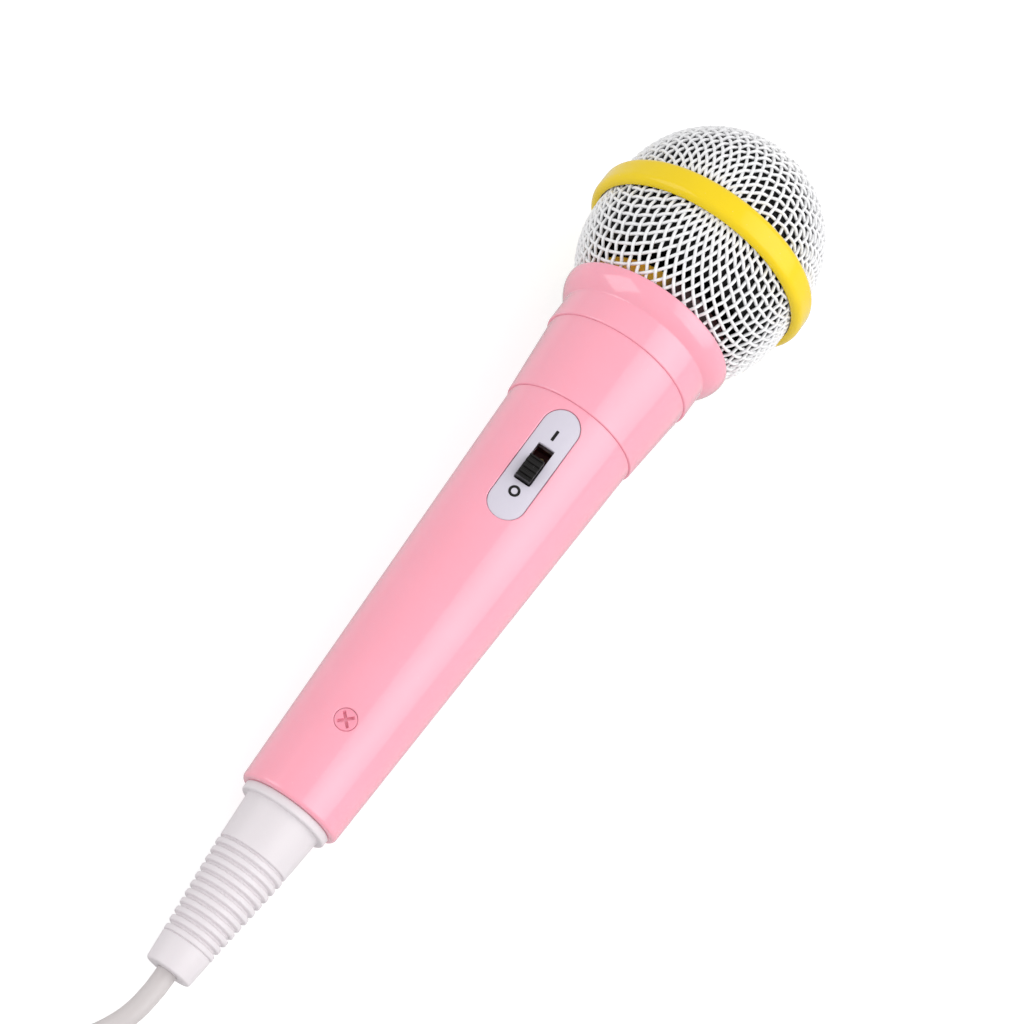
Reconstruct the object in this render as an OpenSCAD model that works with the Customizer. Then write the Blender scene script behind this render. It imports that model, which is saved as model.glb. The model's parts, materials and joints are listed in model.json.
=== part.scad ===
// Hand-held toy microphone with a woven-wire ball head, a slide switch and a cord with a small jack plug.
// It lies on a flat surface on its head band and the edge of its tail, head toward +X, switch side up.
// The origin is on that surface, under the middle of the microphone without its cord.
// Every rigid piece is drawn upright about its own long axis, +Z toward the head and +X toward the switch,
// and lay_down() then puts it in place.

/* [Handle] */
// Length of the handle from its tail face to the neck
handle_len = 103.5; // [86:0.5:125]
// Diameter of the handle at its tail face
handle_tail_d = 23.2; // [21:0.2:28]
// Diameter of the handle where it meets the neck
handle_head_d = 31.4; // [28:0.2:37.6]
// Wall of the handle
handle_wall = 2.2; // [1.8:0.1:2.6]
// Thickness of the handle's tail wall
tail_wall = 2.4; // [1.8:0.1:3]
// Radius of the rounded edge of the tail face
tail_edge_r = 0.9; // [0.4:0.1:1.2]
// Length of the spigot that plugs into the neck
spigot_len = 7; // [5:0.5:9]

/* [Neck and collar] */
// Length of the neck between its two seams
neck_len = 18.7; // [15:0.1:23]
// Step from the handle up to the neck, on the radius
neck_step = 0.45; // [0.2:0.05:0.6]
// How much the neck widens toward the collar, on the radius
neck_flare = 1.65; // [1.2:0.05:3]
// Wall of the neck
neck_wall = 2; // [1.6:0.1:2.4]
// Step from the neck up to the collar, on the radius
collar_step = 0.45; // [0.2:0.05:0.8]
// Length of the collar from its seam to the lip
collar_len = 13; // [10.2:0.1:15]
// How far the lip stands out from the collar, on the radius
lip_flare = 2.7; // [2:0.05:3.6]
// Height of the straight edge of the lip
lip_h = 0.8; // [0.7:0.1:1.2]
// Length of the thread spigot between neck and collar
collar_lap = 5.5; // [4:0.1:6.6]

/* [Head] */
// Diameter of the wire ball
ball_d = 51.4; // [45:0.2:62]
// Thickness of the wire grille
grille_t = 1; // [0.8:0.1:1.4]
// Length of the straight part between the two grille bowls
ball_straight = 9.8; // [8.8:0.1:14]
// How far the band stands proud of the wire ball
band_proud = 2.2; // [2.2:0.1:2.8]
// Width of the band along the axis
band_w = 6.8; // [5.6:0.1:8.2]
// Thickness of the foam lining
foam_t = 4; // [3:0.1:5]

/* [Capsule] */
// Wall of the ring that holds the capsule
cradle_wall = 1.6; // [1.2:0.1:2]
// Height of the capsule's case
capsule_h = 13; // [10.8:0.2:15.6]
// Height of the capsule ring's rim above the lip
cradle_rise = 5; // [4:0.2:6]

/* [Switch] */
// Length of the switch plate
plate_len = 28.6; // [26:0.2:36]
// Width of the switch plate
plate_w = 8.7; // [8:0.1:11.2]
// Thickness of the switch plate
plate_t = 1.2; // [1:0.05:1.4]
// Gap between the plate's end and the neck
plate_gap = 1.9; // [0.8:0.1:3]
// Length of the slot in the switch plate
slot_len = 9.6; // [8.8:0.1:11.6]
// Width of the slot in the switch plate
slot_w = 4; // [3.4:0.1:4.8]
// Distance that the knob slides
travel = 3.6; // [2.8:0.1:4.4]
// Height of the knob above the plate
knob_h = 1.7; // [1.2:0.1:2.2]

/* [Tail] */
// Distance of the screw from the tail face
screw_pos = 19.5; // [16.4:0.1:23.4]
// Diameter of the screw's head
screw_head_d = 4.8; // [4:0.1:5.8]
// Length of the strain relief outside the handle
boot_len = 40.5; // [34:0.5:48]
// How far the strain relief's flange stands back from the handle's side
flange_inset = 1.4; // [1.2:0.1:2]
// Diameter of the strain relief at its outer end
boot_end_d = 10.4; // [8.4:0.1:12]
// Number of ribs around the strain relief
rib_count = 11; // [7:1:13]

/* [Cord and plug] */
// Diameter of the cord
cord_d = 4.5; // [4.5:0.1:4.6]
// Diameter of the jack plug's pin
jack_d = 3.5; // [2.9:0.1:4.2]
// Length of the jack plug's pin
jack_len = 14; // [11.6:0.1:16.8]
// Diameter of the plug's grip
grip_d = 9; // [7.5:0.1:9]
// Length of the plug's grip
grip_len = 24; // [20:0.5:29]

/* [Hidden] */

$fn = 96;
// Clearance of pieces that plug into each other
fit = 0.1;
// Clearance between pieces that move past each other
run = 0.2;
// Overshoot of a cut past the face it opens
eps = 0.5;

tail_r = handle_tail_d / 2;
head_r = handle_head_d / 2;
ball_r = ball_d / 2;
band_r = ball_r + band_proud;
cord_r = cord_d / 2;
jack_r = jack_d / 2;
grip_r = grip_d / 2;
neck_tail_r = head_r + neck_step;
neck_head_r = neck_tail_r + neck_flare;
collar_r = neck_head_r + collar_step;
lip_r = collar_r + lip_flare;

// Stations along the axis, from the tail face
z_neck = handle_len;
z_collar = z_neck + neck_len;
z_lip = z_collar + collar_len;
// The lower bowl stands inside the lip, so its centre follows from the radius there
lip_wall = 1.65;
foot_r = lip_r - lip_wall;
z_low = z_lip + sqrt(ball_r * ball_r - foot_r * foot_r);
z_top = z_low + ball_straight;
z_band = z_low + ball_straight / 2;
z_tip = z_top + ball_r;

// The handle's outer radius at a station, and the slope of its side
function handle_r(s) = tail_r + (head_r - tail_r) * s / handle_len;
handle_slope = atan((head_r - tail_r) / handle_len);

// The tail edge and the band's edge are round in section, so the floor touches both where a common
// tangent does. That tangent's slope is how far the microphone leans.
band_edge_r = 2;
tail_touch = [tail_edge_r, tail_r - tail_edge_r];
band_touch = [z_band - band_w / 2 + band_edge_r, band_r - band_edge_r];
touch_run = band_touch[0] - tail_touch[0];
touch_rise = band_touch[1] - tail_touch[1];
lean = atan(touch_rise / touch_run)
    + asin((band_edge_r - tail_edge_r) / norm([touch_run, touch_rise]));
boot_end_r = boot_end_d / 2;
tail_x = -boot_len * cos(lean) - boot_end_r * sin(lean);
head_x = z_top * cos(lean) + ball_r;
axis_x = -(tail_x + head_x) / 2;
axis_z = tail_edge_r + tail_touch[1] * cos(lean) - tail_touch[0] * sin(lean);

// A point of the axis, as the microphone lies
function axis_point(s) = [axis_x + s * cos(lean), 0, axis_z + s * sin(lean)];

module lay_down() {
    translate([axis_x, 0, axis_z]) rotate([0, 90 - lean, 0]) rotate([0, 0, 180]) children();
}

// On the handle's switch side: x is the height above its surface, z runs along it toward the head
module on_handle(s) {
    translate([handle_r(s), 0, s]) rotate([0, handle_slope, 0]) children();
}

// ---- Sweeps -------------------------------------------------------------------------------------
function unit(v) = v / norm(v);
function tangent(p, i) = unit(p[min(i + 1, len(p) - 1)] - p[max(i - 1, 0)]);
function ring(c, t, up, r, n) =
    let (side = unit(cross(t, up)), over = cross(side, t))
    [for (k = [0:n - 1]) c + r * (cos(360 * k / n) * side + sin(360 * k / n) * over)];
function ring_points(p, up, r, n) = [for (i = [0:len(p) - 1]) each ring(p[i], tangent(p, i), up, r, n)];
function tube_sides(m, n) = [
    for (i = [0:m - 2])
        for (k = [0:n - 1])
            [i * n + k, i * n + (k + 1) % n, (i + 1) * n + (k + 1) % n, (i + 1) * n + k]
];

// A round tube along the points p; up is never along the route
module tube(p, r, n, up) {
    m = len(p);
    first = [for (k = [0:n - 1]) n - 1 - k];
    last = [for (k = [0:n - 1]) (m - 1) * n + k];
    polyhedron(ring_points(p, up, r, n), concat([first], tube_sides(m, n), [last]), convexity = 6);
}

// A ring about the axis with the given radii
module sleeve(r_out, r_in, z0, z1) {
    difference() {
        translate([0, 0, z0]) cylinder(h = z1 - z0, r = r_out);
        translate([0, 0, z0 - eps]) cylinder(h = z1 - z0 + 2 * eps, r = r_in);
    }
}

// A quarter arc of a turned profile, for rounded edges
function arc(cx, cz, r, a0, a1) = [
    for (k = [0:4]) let (a = a0 + (a1 - a0) * k / 4) [cx + r * cos(a), cz + r * sin(a)]
];

// ---- Handle -------------------------------------------------------------------------------------
spigot_r = head_r - 1;
handle_top = z_neck + spigot_len;
bore_top_r = head_r - handle_wall;
boot_hole_r = tail_r - handle_wall - 2.5;

module handle_solid(shrink) {
    cylinder(h = handle_len, r1 = tail_r - shrink, r2 = head_r - shrink);
}

module stadium(length, width, depth) {
    rotate([0, 90, 0]) linear_extrude(height = depth) union() {
        translate([(length - width) / 2, 0]) circle(d = width, $fn = 48);
        translate([-(length - width) / 2, 0]) circle(d = width, $fn = 48);
        square([length - width, width], center = true);
    }
}

plate_s = handle_len - plate_gap - plate_len / 2;
stud_z = plate_len * 0.35;
stud_r = 0.8;
stud_hole_r = stud_r + fit;
cut_deep = 3;

module handle_tube() {
    color("pink") lay_down() difference() {
        rotate_extrude() polygon(concat(
            [[0, 0]],
            arc(tail_r - tail_edge_r, tail_edge_r, tail_edge_r, -90, 0),
            [[head_r, z_neck], [spigot_r, z_neck], [spigot_r, handle_top], [0, handle_top]]
        ));
        translate([0, 0, tail_wall])
            cylinder(h = handle_len - tail_wall, r1 = handle_r(tail_wall) - handle_wall, r2 = bore_top_r);
        translate([0, 0, z_neck - eps]) cylinder(h = spigot_len + 2 * eps, r = bore_top_r);
        translate([0, 0, -eps]) cylinder(h = tail_wall + 2 * eps, r = boot_hole_r);
        // The shallow seat of the switch plate
        difference() {
            on_handle(plate_s) translate([-cut_deep, 0, 0])
                stadium(plate_len + 2 * fit, plate_w + 2 * fit, 2 * cut_deep);
            handle_solid(plate_t + fit / 2);
        }
        on_handle(plate_s) {
            block(-2 * cut_deep, cut_deep, slot_w + 1, slot_len + 1, 0);
            stud_holes(stud_hole_r, -2 * cut_deep, cut_deep);
        }
        on_handle(screw_pos) {
            translate([-screw_sink - screw_head_h, 0, 0]) rotate([0, 90, 0])
                cylinder(h = cut_deep + screw_head_h, r = screw_head_r + fit, $fn = 48);
            translate([-2 * cut_deep, 0, 0]) rotate([0, 90, 0])
                cylinder(h = 2 * cut_deep, r = screw_r + fit, $fn = 32);
        }
    }
}

// ---- Neck and collar ----------------------------------------------------------------------------
neck_bore_r = spigot_r + fit;
thread_r = neck_head_r - 1.2;
thread_top = z_collar + collar_lap;
thread_bore_r = thread_r - 1.6;

function neck_r(z) = neck_tail_r + (neck_head_r - neck_tail_r) * (z - z_neck) / neck_len;

module neck_housing() {
    seat = handle_top + fit;
    shoulder = seat + 2;
    color("pink") lay_down() rotate_extrude() polygon([
        [neck_bore_r, z_neck],
        [neck_tail_r - 0.25, z_neck],
        [neck_tail_r, z_neck + 0.25],
        [neck_head_r, z_collar],
        [thread_r, z_collar],
        [thread_r, thread_top],
        [thread_bore_r, thread_top],
        [thread_bore_r, z_collar - 1],
        [neck_r(shoulder) - neck_wall, shoulder],
        [bore_top_r, seat],
        [neck_bore_r, seat]
    ]);
}

// The collar is straight above its seam, then flares out at a clear corner and rounds off into the lip
lip_edge_r = 0.6;
flare_len = 5.2;
module head_collar() {
    flare_h = min(flare_len, collar_len - lip_h - 2);
    flare_z = z_lip - lip_h - flare_h;
    flare = [
        for (k = [0:8])
            let (left = 1 - k / 8)
            [collar_r + (lip_r - collar_r) * (1 - left * left), flare_z + flare_h * k / 8]
    ];
    color("pink") lay_down() difference() {
        rotate_extrude() polygon(concat(
            [[thread_r + fit, z_collar], [collar_r - 0.2, z_collar], [collar_r, z_collar + 0.4]],
            flare,
            arc(lip_r - lip_edge_r, z_lip - lip_edge_r, lip_edge_r, 0, 90),
            [[thread_bore_r + 1, z_lip], [thread_bore_r + 1, thread_top + fit]],
            [[thread_r + fit, thread_top + fit]]
        ));
        // The seat that the foot of the lower grille stands in
        translate([0, 0, z_low]) sphere(r = ball_r + fit);
    }
}

// ---- Grille, band and foam ----------------------------------------------------------------------
grille_sink = 2.2;

// A ball that was cut in two at its middle and given a straight part, in section
module long_ball(r) {
    translate([0, z_low]) circle(r = r);
    translate([0, z_low]) square([r, z_top - z_low]);
    translate([0, z_top]) circle(r = r);
}

// The part of its shell from z0 to z1, turned about the axis
module ball_shell(r, t, z0, z1) {
    rotate_extrude() intersection() {
        difference() {
            long_ball(r);
            long_ball(r - t);
        }
        translate([0, z0]) square([r + 1, z1 - z0]);
    }
}

module lower_grille() {
    color("whitesmoke") lay_down() ball_shell(ball_r, grille_t, grille_foot_z, z_band - fit);
}

module upper_grille() {
    color("whitesmoke") lay_down() ball_shell(ball_r, grille_t, z_band + fit, z_tip + 1);
}

// The band's section: flat inside, with rounded edges outside
module grille_band() {
    half = band_w / 2;
    inner_r = ball_r + fit;
    color("gold") lay_down() rotate_extrude() polygon(concat(
        [[inner_r, z_band - half]],
        arc(band_r - band_edge_r, z_band - half + band_edge_r, band_edge_r, -90, 0),
        arc(band_r - band_edge_r, z_band + half - band_edge_r, band_edge_r, 0, 90),
        [[inner_r, z_band + half]]
    ));
}

foam_r = ball_r - grille_t - run;
// The foam ring starts above the ring that holds the capsule
cradle_top = z_lip + cradle_rise;
foam_foot = cradle_top + 2;
module foam_dome() {
    color("dimgray") lay_down() ball_shell(foam_r, foam_t, z_band + fit, z_tip);
}

module foam_ring() {
    color("dimgray") lay_down() ball_shell(foam_r, foam_t, foam_foot, z_band - fit);
}

// ---- Capsule ------------------------------------------------------------------------------------
capsule_top = cradle_top + 1.5;
capsule_foot = capsule_top - capsule_h;
cradle_stem_r = thread_bore_r - fit;
cradle_bore_r = cradle_stem_r - cradle_wall;
capsule_r = cradle_bore_r - fit;
case_wall = 0.8;
yoke_r = capsule_r - case_wall - fit;
cradle_ledge = 1.4;
cradle_shoulder_r = thread_bore_r + 0.7;
// The ring narrows to pass the foot of the lower grille, and its rim spreads above it
grille_foot_z = z_lip - grille_sink;
grille_foot_r = sqrt(pow(ball_r - grille_t, 2) - pow(z_low - grille_foot_z, 2));
cradle_waist_r = min(cradle_shoulder_r, grille_foot_r - run);
cradle_rim_r = foot_r - grille_t - 1.2;

// The ring's shoulder stands on the neck's rim, and its stem plugs into the neck and carries the capsule
module capsule_cradle() {
    color("orange") lay_down() rotate_extrude() polygon([
        [capsule_r - cradle_ledge, capsule_foot - cradle_ledge],
        [cradle_stem_r, capsule_foot - cradle_ledge],
        [cradle_stem_r, thread_top],
        [cradle_shoulder_r, thread_top],
        [cradle_shoulder_r, grille_foot_z - 1],
        [cradle_waist_r, grille_foot_z - 0.5],
        [cradle_waist_r, z_lip - 0.5],
        [cradle_rim_r, z_lip + 1],
        [cradle_rim_r, cradle_top],
        [cradle_bore_r, cradle_top],
        [cradle_bore_r, capsule_foot],
        [capsule_r - cradle_ledge, capsule_foot]
    ]);
}

module capsule_case() {
    color("silver") lay_down() difference() {
        translate([0, 0, capsule_foot]) cylinder(h = capsule_h, r = capsule_r);
        translate([0, 0, capsule_foot + case_wall]) cylinder(h = capsule_h, r = capsule_r - case_wall);
        translate([0, 0, capsule_foot - eps]) cylinder(h = 2, r = 3);
    }
}

cap_t = 1;
cap_skirt = 2;
module capsule_front_cap() {
    color("dimgray") lay_down() difference() {
        union() {
            translate([0, 0, capsule_top]) cylinder(h = cap_t, r = capsule_r);
            translate([0, 0, capsule_top - cap_skirt]) cylinder(h = cap_skirt, r = yoke_r);
        }
        translate([0, 0, capsule_top - cap_skirt - eps]) cylinder(h = cap_skirt + eps, r = yoke_r - 1);
        for (a = [0:45:315]) rotate([0, 0, a]) translate([capsule_r * 0.55, 0, capsule_top - eps])
            cylinder(h = 2 * cap_t + eps, r = 1.2, $fn = 24);
        translate([0, 0, capsule_top - eps]) cylinder(h = 2 * cap_t + eps, r = 1.2, $fn = 24);
    }
}

yoke_foot = capsule_foot + case_wall;
yoke_h = 7.4;
yoke_floor = 1.6;
magnet_r = capsule_r * 0.46;
magnet_h = 3.6;
pole_h = 1.6;
coil_gap = 0.45;
coil_t = 0.6;
diaphragm_z = capsule_top - cap_skirt - 0.9;

module magnet_yoke() {
    color("slategray") lay_down() difference() {
        translate([0, 0, yoke_foot]) cylinder(h = yoke_h, r = yoke_r);
        translate([0, 0, yoke_foot + yoke_floor])
            cylinder(h = yoke_h, r = magnet_r + 2 * coil_gap + coil_t);
    }
}

module capsule_magnet() {
    color("gray") lay_down() translate([0, 0, yoke_foot + yoke_floor])
        cylinder(h = magnet_h, r = magnet_r - 0.4);
}

module pole_plate() {
    color("silver") lay_down() translate([0, 0, yoke_foot + yoke_floor + magnet_h])
        cylinder(h = pole_h, r = magnet_r);
}

coil_foot = yoke_foot + yoke_floor + magnet_h - 0.8;
module voice_coil() {
    color("chocolate") lay_down()
        sleeve(magnet_r + coil_gap + coil_t, magnet_r + coil_gap, coil_foot, diaphragm_z);
}

module diaphragm() {
    color("lightyellow") lay_down() union() {
        translate([0, 0, diaphragm_z]) cylinder(h = 0.3, r = yoke_r - 0.2);
        translate([0, 0, diaphragm_z + 0.3]) cylinder(h = 0.5, r1 = magnet_r, r2 = magnet_r - 2);
    }
}

// ---- Switch -------------------------------------------------------------------------------------
// Heights below are measured from the handle's surface, inward negative
frame_top = -handle_wall - 0.7;
frame_t = 0.5;
frame_len = 2 * stud_z + 4;
base_len = slot_len + 3;
base_w = slot_w + 1.8;
base_h = 4.5;
base_floor = 1;
cavity_len = slot_len + 1;
knob_len = slot_len - travel - 2 * run;
knob_w = slot_w - 2 * run;
knob_rest = -travel / 2;
shoe_t = 1.4;
shoe_len = cavity_len - travel - 2 * run;
frame_foot = frame_top - frame_t;
shoe_top = frame_foot - fit;
cavity_floor = frame_foot - base_h + base_floor;
terminal_pitch = base_len * 0.3;

module block(x0, x1, width, length, z) {
    translate([x0, -width / 2, z - length / 2]) cube([x1 - x0, width, length]);
}

module stud_holes(r, x0, x1) {
    for (side = [-1, 1]) translate([x0, 0, side * stud_z]) rotate([0, 90, 0])
        cylinder(h = x1 - x0, r = r, $fn = 32);
}

module switch_plate() {
    color("lavender") lay_down() {
        difference() {
            intersection() {
                on_handle(plate_s) translate([-cut_deep, 0, 0]) stadium(plate_len, plate_w, 2 * cut_deep);
                difference() {
                    handle_solid(0);
                    handle_solid(plate_t);
                }
            }
            on_handle(plate_s) block(-cut_deep, cut_deep, slot_w, slot_len, 0);
        }
        on_handle(plate_s) {
            stud_holes(stud_r, frame_foot, -plate_t * 0.7);
            stud_holes(stud_r + 0.5, frame_foot - 0.6, frame_foot);
        }
    }
}

module switch_frame() {
    color("silver") lay_down() on_handle(plate_s) difference() {
        block(frame_foot, frame_top, base_w, frame_len, 0);
        block(frame_foot - eps, frame_top + eps, slot_w, slot_len, 0);
        stud_holes(stud_hole_r, frame_foot - eps, frame_top + eps);
    }
}

module terminal_row(r, x0, x1) {
    for (k = [-1:1]) translate([x0, 0, k * terminal_pitch]) rotate([0, 90, 0])
        cylinder(h = x1 - x0, r = r, $fn = 24);
}

module switch_base() {
    color("darkred") lay_down() on_handle(plate_s) difference() {
        block(frame_foot - base_h, frame_foot, base_w, base_len, 0);
        block(cavity_floor, frame_foot + eps, slot_w, cavity_len, 0);
        terminal_row(0.5 + fit / 2, frame_foot - base_h - eps, cavity_floor + eps);
    }
}

module switch_terminals() {
    color("gold") lay_down() on_handle(plate_s)
        terminal_row(0.5, frame_foot - base_h - 2.5, cavity_floor + fit);
}

module switch_knob() {
    ribs = 4;
    rib_pitch = knob_len / ribs;
    color("black") lay_down() on_handle(plate_s) difference() {
        union() {
            block(shoe_top, knob_h, knob_w, knob_len, knob_rest);
            block(shoe_top - shoe_t, shoe_top, knob_w, shoe_len, knob_rest);
        }
        for (k = [0:ribs - 1]) block(knob_h - 0.5, knob_h + eps, knob_w + 1, rib_pitch / 2,
            knob_rest - knob_len / 2 + (k + 0.5) * rib_pitch);
    }
}

module switch_contact() {
    foot = cavity_floor + 2 * run;
    color("goldenrod") lay_down() on_handle(plate_s) difference() {
        block(foot, shoe_top - shoe_t, knob_w - 1, shoe_len - 1, knob_rest);
        block(foot - eps, shoe_top - shoe_t - 0.3, knob_w, shoe_len - 2.4, knob_rest);
    }
}

// ---- Tail ---------------------------------------------------------------------------------------
screw_r = 1.1;
screw_head_r = screw_head_d / 2;
screw_head_h = 1.1;
screw_sink = 0.35;
screw_len = 7;
block_foot = 7;
block_top = screw_pos + 7;

module handle_screw() {
    under = -screw_sink - screw_head_h;
    color("pink") lay_down() on_handle(screw_pos) difference() {
        union() {
            translate([under, 0, 0]) rotate([0, 90, 0])
                cylinder(h = screw_head_h, r = screw_head_r, $fn = 48);
            translate([under - screw_len, 0, 0]) rotate([0, 90, 0])
                cylinder(h = screw_len, r = screw_r, $fn = 32);
        }
        for (a = [45, 135]) translate([-screw_sink, 0, 0]) rotate([a, 0, 0])
            cube([1.2, screw_head_d * 0.62, 0.7], center = true);
    }
}

module tail_block() {
    gap = handle_wall + fit;
    color("ivory") lay_down() difference() {
        translate([0, 0, block_foot])
            cylinder(
                h = block_top - block_foot,
                r1 = handle_r(block_foot) - gap,
                r2 = handle_r(block_top) - gap
            );
        translate([0, 0, -eps]) cylinder(h = block_top + 2 * eps, r = cord_r + fit, $fn = 48);
        on_handle(screw_pos) translate([-screw_len - 2.4, 0, 0]) rotate([0, 90, 0])
            cylinder(h = screw_len + 4, r = screw_r + fit / 2, $fn = 32);
    }
}

// The boot's smooth shoulder, its ribs and its plain end, as one turned profile from the flange outward
boot_flange_t = 2;
boot_shoulder_len = 10.2;
boot_collar_len = 6.4;
boot_flange_r = tail_r - flange_inset;
boot_shoulder_r = boot_flange_r - 1.45;
boot_neck_r = boot_shoulder_r * 0.92;
boot_collar_r = boot_end_r + 0.6;
rib_deep = 0.75;
ribs_top = -boot_flange_t - boot_shoulder_len;
rib_pitch = (boot_len - boot_flange_t - boot_shoulder_len - boot_collar_len) / rib_count;
function rib_r(k) = boot_neck_r + (boot_collar_r - 0.1 - boot_neck_r) * k / rib_count;

module strain_relief_boot() {
    groove_r = boot_hole_r - fit;
    catch_r = boot_hole_r + 1;
    ribs = [
        for (k = [0:rib_count - 1])
            let (z = ribs_top - k * rib_pitch, r = rib_r(k), low = r - rib_deep)
            each [
                [low, z], [low, z - 0.22 * rib_pitch],
                [r, z - 0.38 * rib_pitch], [r, z - 0.84 * rib_pitch], [low, z - rib_pitch]
            ]
    ];
    color("white") lay_down() rotate_extrude() polygon(concat(
        [[cord_r + fit, tail_wall + 3], [catch_r - 1, tail_wall + 3], [catch_r, tail_wall + 2.2]],
        [[catch_r, tail_wall], [groove_r, tail_wall], [groove_r, 0]],
        [[boot_flange_r, 0], [boot_flange_r, -boot_flange_t], [boot_shoulder_r, -boot_flange_t]],
        [[boot_neck_r, ribs_top]],
        ribs,
        [[boot_collar_r, -boot_len + boot_collar_len]],
        [[boot_end_r, -boot_len], [cord_r + fit, -boot_len]]
    ));
}

crimp_h = 4;
inner_top = block_top + crimp_h + 2;
module inner_cord() {
    color("white") lay_down() translate([0, 0, -boot_len])
        cylinder(h = boot_len + inner_top, r = cord_r, $fn = 48);
}

module cable_crimp() {
    foot = block_top + fit;
    color("silver") lay_down() sleeve(cord_r + 1, cord_r + fit / 2, foot, foot + crimp_h);
}

// The wires run in the handle's bore: from the cord to the switch, from there to the capsule, and back
wire_r = 0.55;
// A point below the switch, at the end of a terminal
function terminal_point(k) =
    let (depth = frame_foot - base_h - 2.5, z = k * terminal_pitch)
    [handle_r(plate_s) + depth * cos(handle_slope) + z * sin(handle_slope), 0,
     plate_s - depth * sin(handle_slope) + z * cos(handle_slope)];
module wire(ends) {
    lay_down() tube(ends, wire_r, 8, [0, 1, 0]);
}

module signal_wire() {
    goal = terminal_point(-1);
    color("red") wire([
        [1.2, 0.9, inner_top], [1.2, 0.9, inner_top + 2], [2.2, 0.9, inner_top + 9],
        [2.6, 0.6, plate_s - 24],
        [goal[0] - 1.6, 0, goal[2] - 5], goal - [wire_r, 0, 0]
    ]);
}

capsule_tab = capsule_foot - 0.6;
module link_wire() {
    start = terminal_point(0);
    color("yellow") wire([
        start - [wire_r, 0, 0], [start[0] - 2.4, 0, start[2] + 6],
        [2.4, 1, z_neck + 2], [1.6, 1.2, capsule_tab]
    ]);
}

module ground_wire() {
    color("black") wire([
        [-1.2, -0.9, inner_top], [-1.2, -0.9, inner_top + 2], [-3, -1, inner_top + 13],
        [-4, -1, plate_s - 10], [-3.4, -1, z_neck], [-1.6, -1.2, capsule_tab]
    ]);
}

// ---- Cord and plug, as they lie. Their x is measured from the outer end of the strain relief ----
boot_out = axis_point(-boot_len);
boot_next = axis_point(-boot_len - 5);
module at_cord() {
    translate([boot_out[0], 0, 0]) children();
}

// Middle of the coil, and where the cord joins it, as an angle about that middle
coil_centre = [-59, -2];
coil_in_angle = 38;
coil_mid_r = 27;
coil_rows = 4;
coil_layers = 2;
coil_half = coil_rows * cord_d / 2;
coil_outer = coil_mid_r + coil_half;
coil_inner = coil_mid_r - coil_half;
coil_h = coil_layers * cord_d;
outer_turn_r = coil_outer - cord_r;

// The route from the strain relief to the coil. It first runs straight on from the strain relief
lead_route = [
    [0, 0, boot_out[2]], [boot_next[0] - boot_out[0], 0, boot_next[2]],
    [-11, 1, 5.6], [-17, 3.8, 4.2], [-23, 8.2, 3], [-28, 13.6, 2.4],
    [
        coil_centre[0] + outer_turn_r * cos(coil_in_angle),
        coil_centre[1] + outer_turn_r * sin(coil_in_angle),
        cord_r
    ]
];
// The route from the coil to the plug
tail_route = [
    [coil_centre[0], coil_centre[1] + outer_turn_r, coil_h - cord_r],
    [-67, 31.6, 6.4], [-75, 31, 5.6], [-82, 30.3, 4.8], [-87, 30, 4.5], [-92, 30, 4.5]
];
plug_start = tail_route[len(tail_route) - 1];

module cord_lead() {
    color("white") at_cord() tube(lead_route, cord_r, 10, [0, 0, 1]);
}

module cord_tail() {
    color("white") at_cord() tube(tail_route, cord_r, 10, [0, 0, 1]);
}

tie_angle = 215;
tie_w = 5;
tie_t = 0.6;
module at_tie() {
    at_cord() translate([coil_centre[0], coil_centre[1], 0]) rotate([0, 0, tie_angle])
        translate([coil_mid_r, 0, 0]) children();
}

module cord_coil() {
    soft = cord_r * 0.6;
    color("white") difference() {
        at_cord() translate([coil_centre[0], coil_centre[1], 0]) rotate_extrude() polygon([
            [coil_inner + soft, 0], [coil_outer - soft, 0], [coil_outer, soft], [coil_outer, coil_h - soft],
            [coil_outer - soft, coil_h], [coil_inner + soft, coil_h], [coil_inner, coil_h - soft],
            [coil_inner, soft]
        ]);
        at_tie() cube([3 * coil_half, tie_w, 2 * tie_t], center = true);
    }
}

// The tie goes round all the turns; the coil lies on its lower run
module cord_tie() {
    half = coil_half + 0.5 + tie_t;
    color("gray") at_tie() difference() {
        translate([-half, -tie_w / 2, 0]) cube([2 * half, tie_w, coil_h + tie_t]);
        translate([-half + tie_t, -tie_w, tie_t]) cube([2 * (half - tie_t), 2 * tie_w, coil_h - tie_t]);
    }
}

// The plug points along -X from the end of the cord
module at_plug() {
    at_cord() translate(plug_start) rotate([0, -90, 0]) children();
}

module plug_grip() {
    flex = grip_len * 0.3;
    color("white") at_plug() rotate_extrude($fn = 64) polygon([
        [0, 0], [cord_r + 0.5, 0], [cord_r + 1, flex], [grip_r - 0.6, flex + 0.8], [grip_r, flex + 2.4],
        [grip_r, grip_len - 2], [grip_r - 0.8, grip_len - 0.6], [grip_r - 1.6, grip_len], [0, grip_len]
    ]);
}

jack_tip_len = jack_len * 0.34;
jack_ring = 0.7;
// The tip and the ring behind it are a little thinner than the sleeve
jack_tip_r = jack_r * 0.88;
sleeve_len = jack_len - jack_tip_len - jack_ring;
module plug_sleeve() {
    color("silver") at_plug() translate([0, 0, grip_len]) cylinder(h = sleeve_len, r = jack_r, $fn = 48);
}

module plug_insulator() {
    color("black") at_plug() translate([0, 0, grip_len + sleeve_len])
        cylinder(h = jack_ring, r = jack_tip_r, $fn = 48);
}

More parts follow.
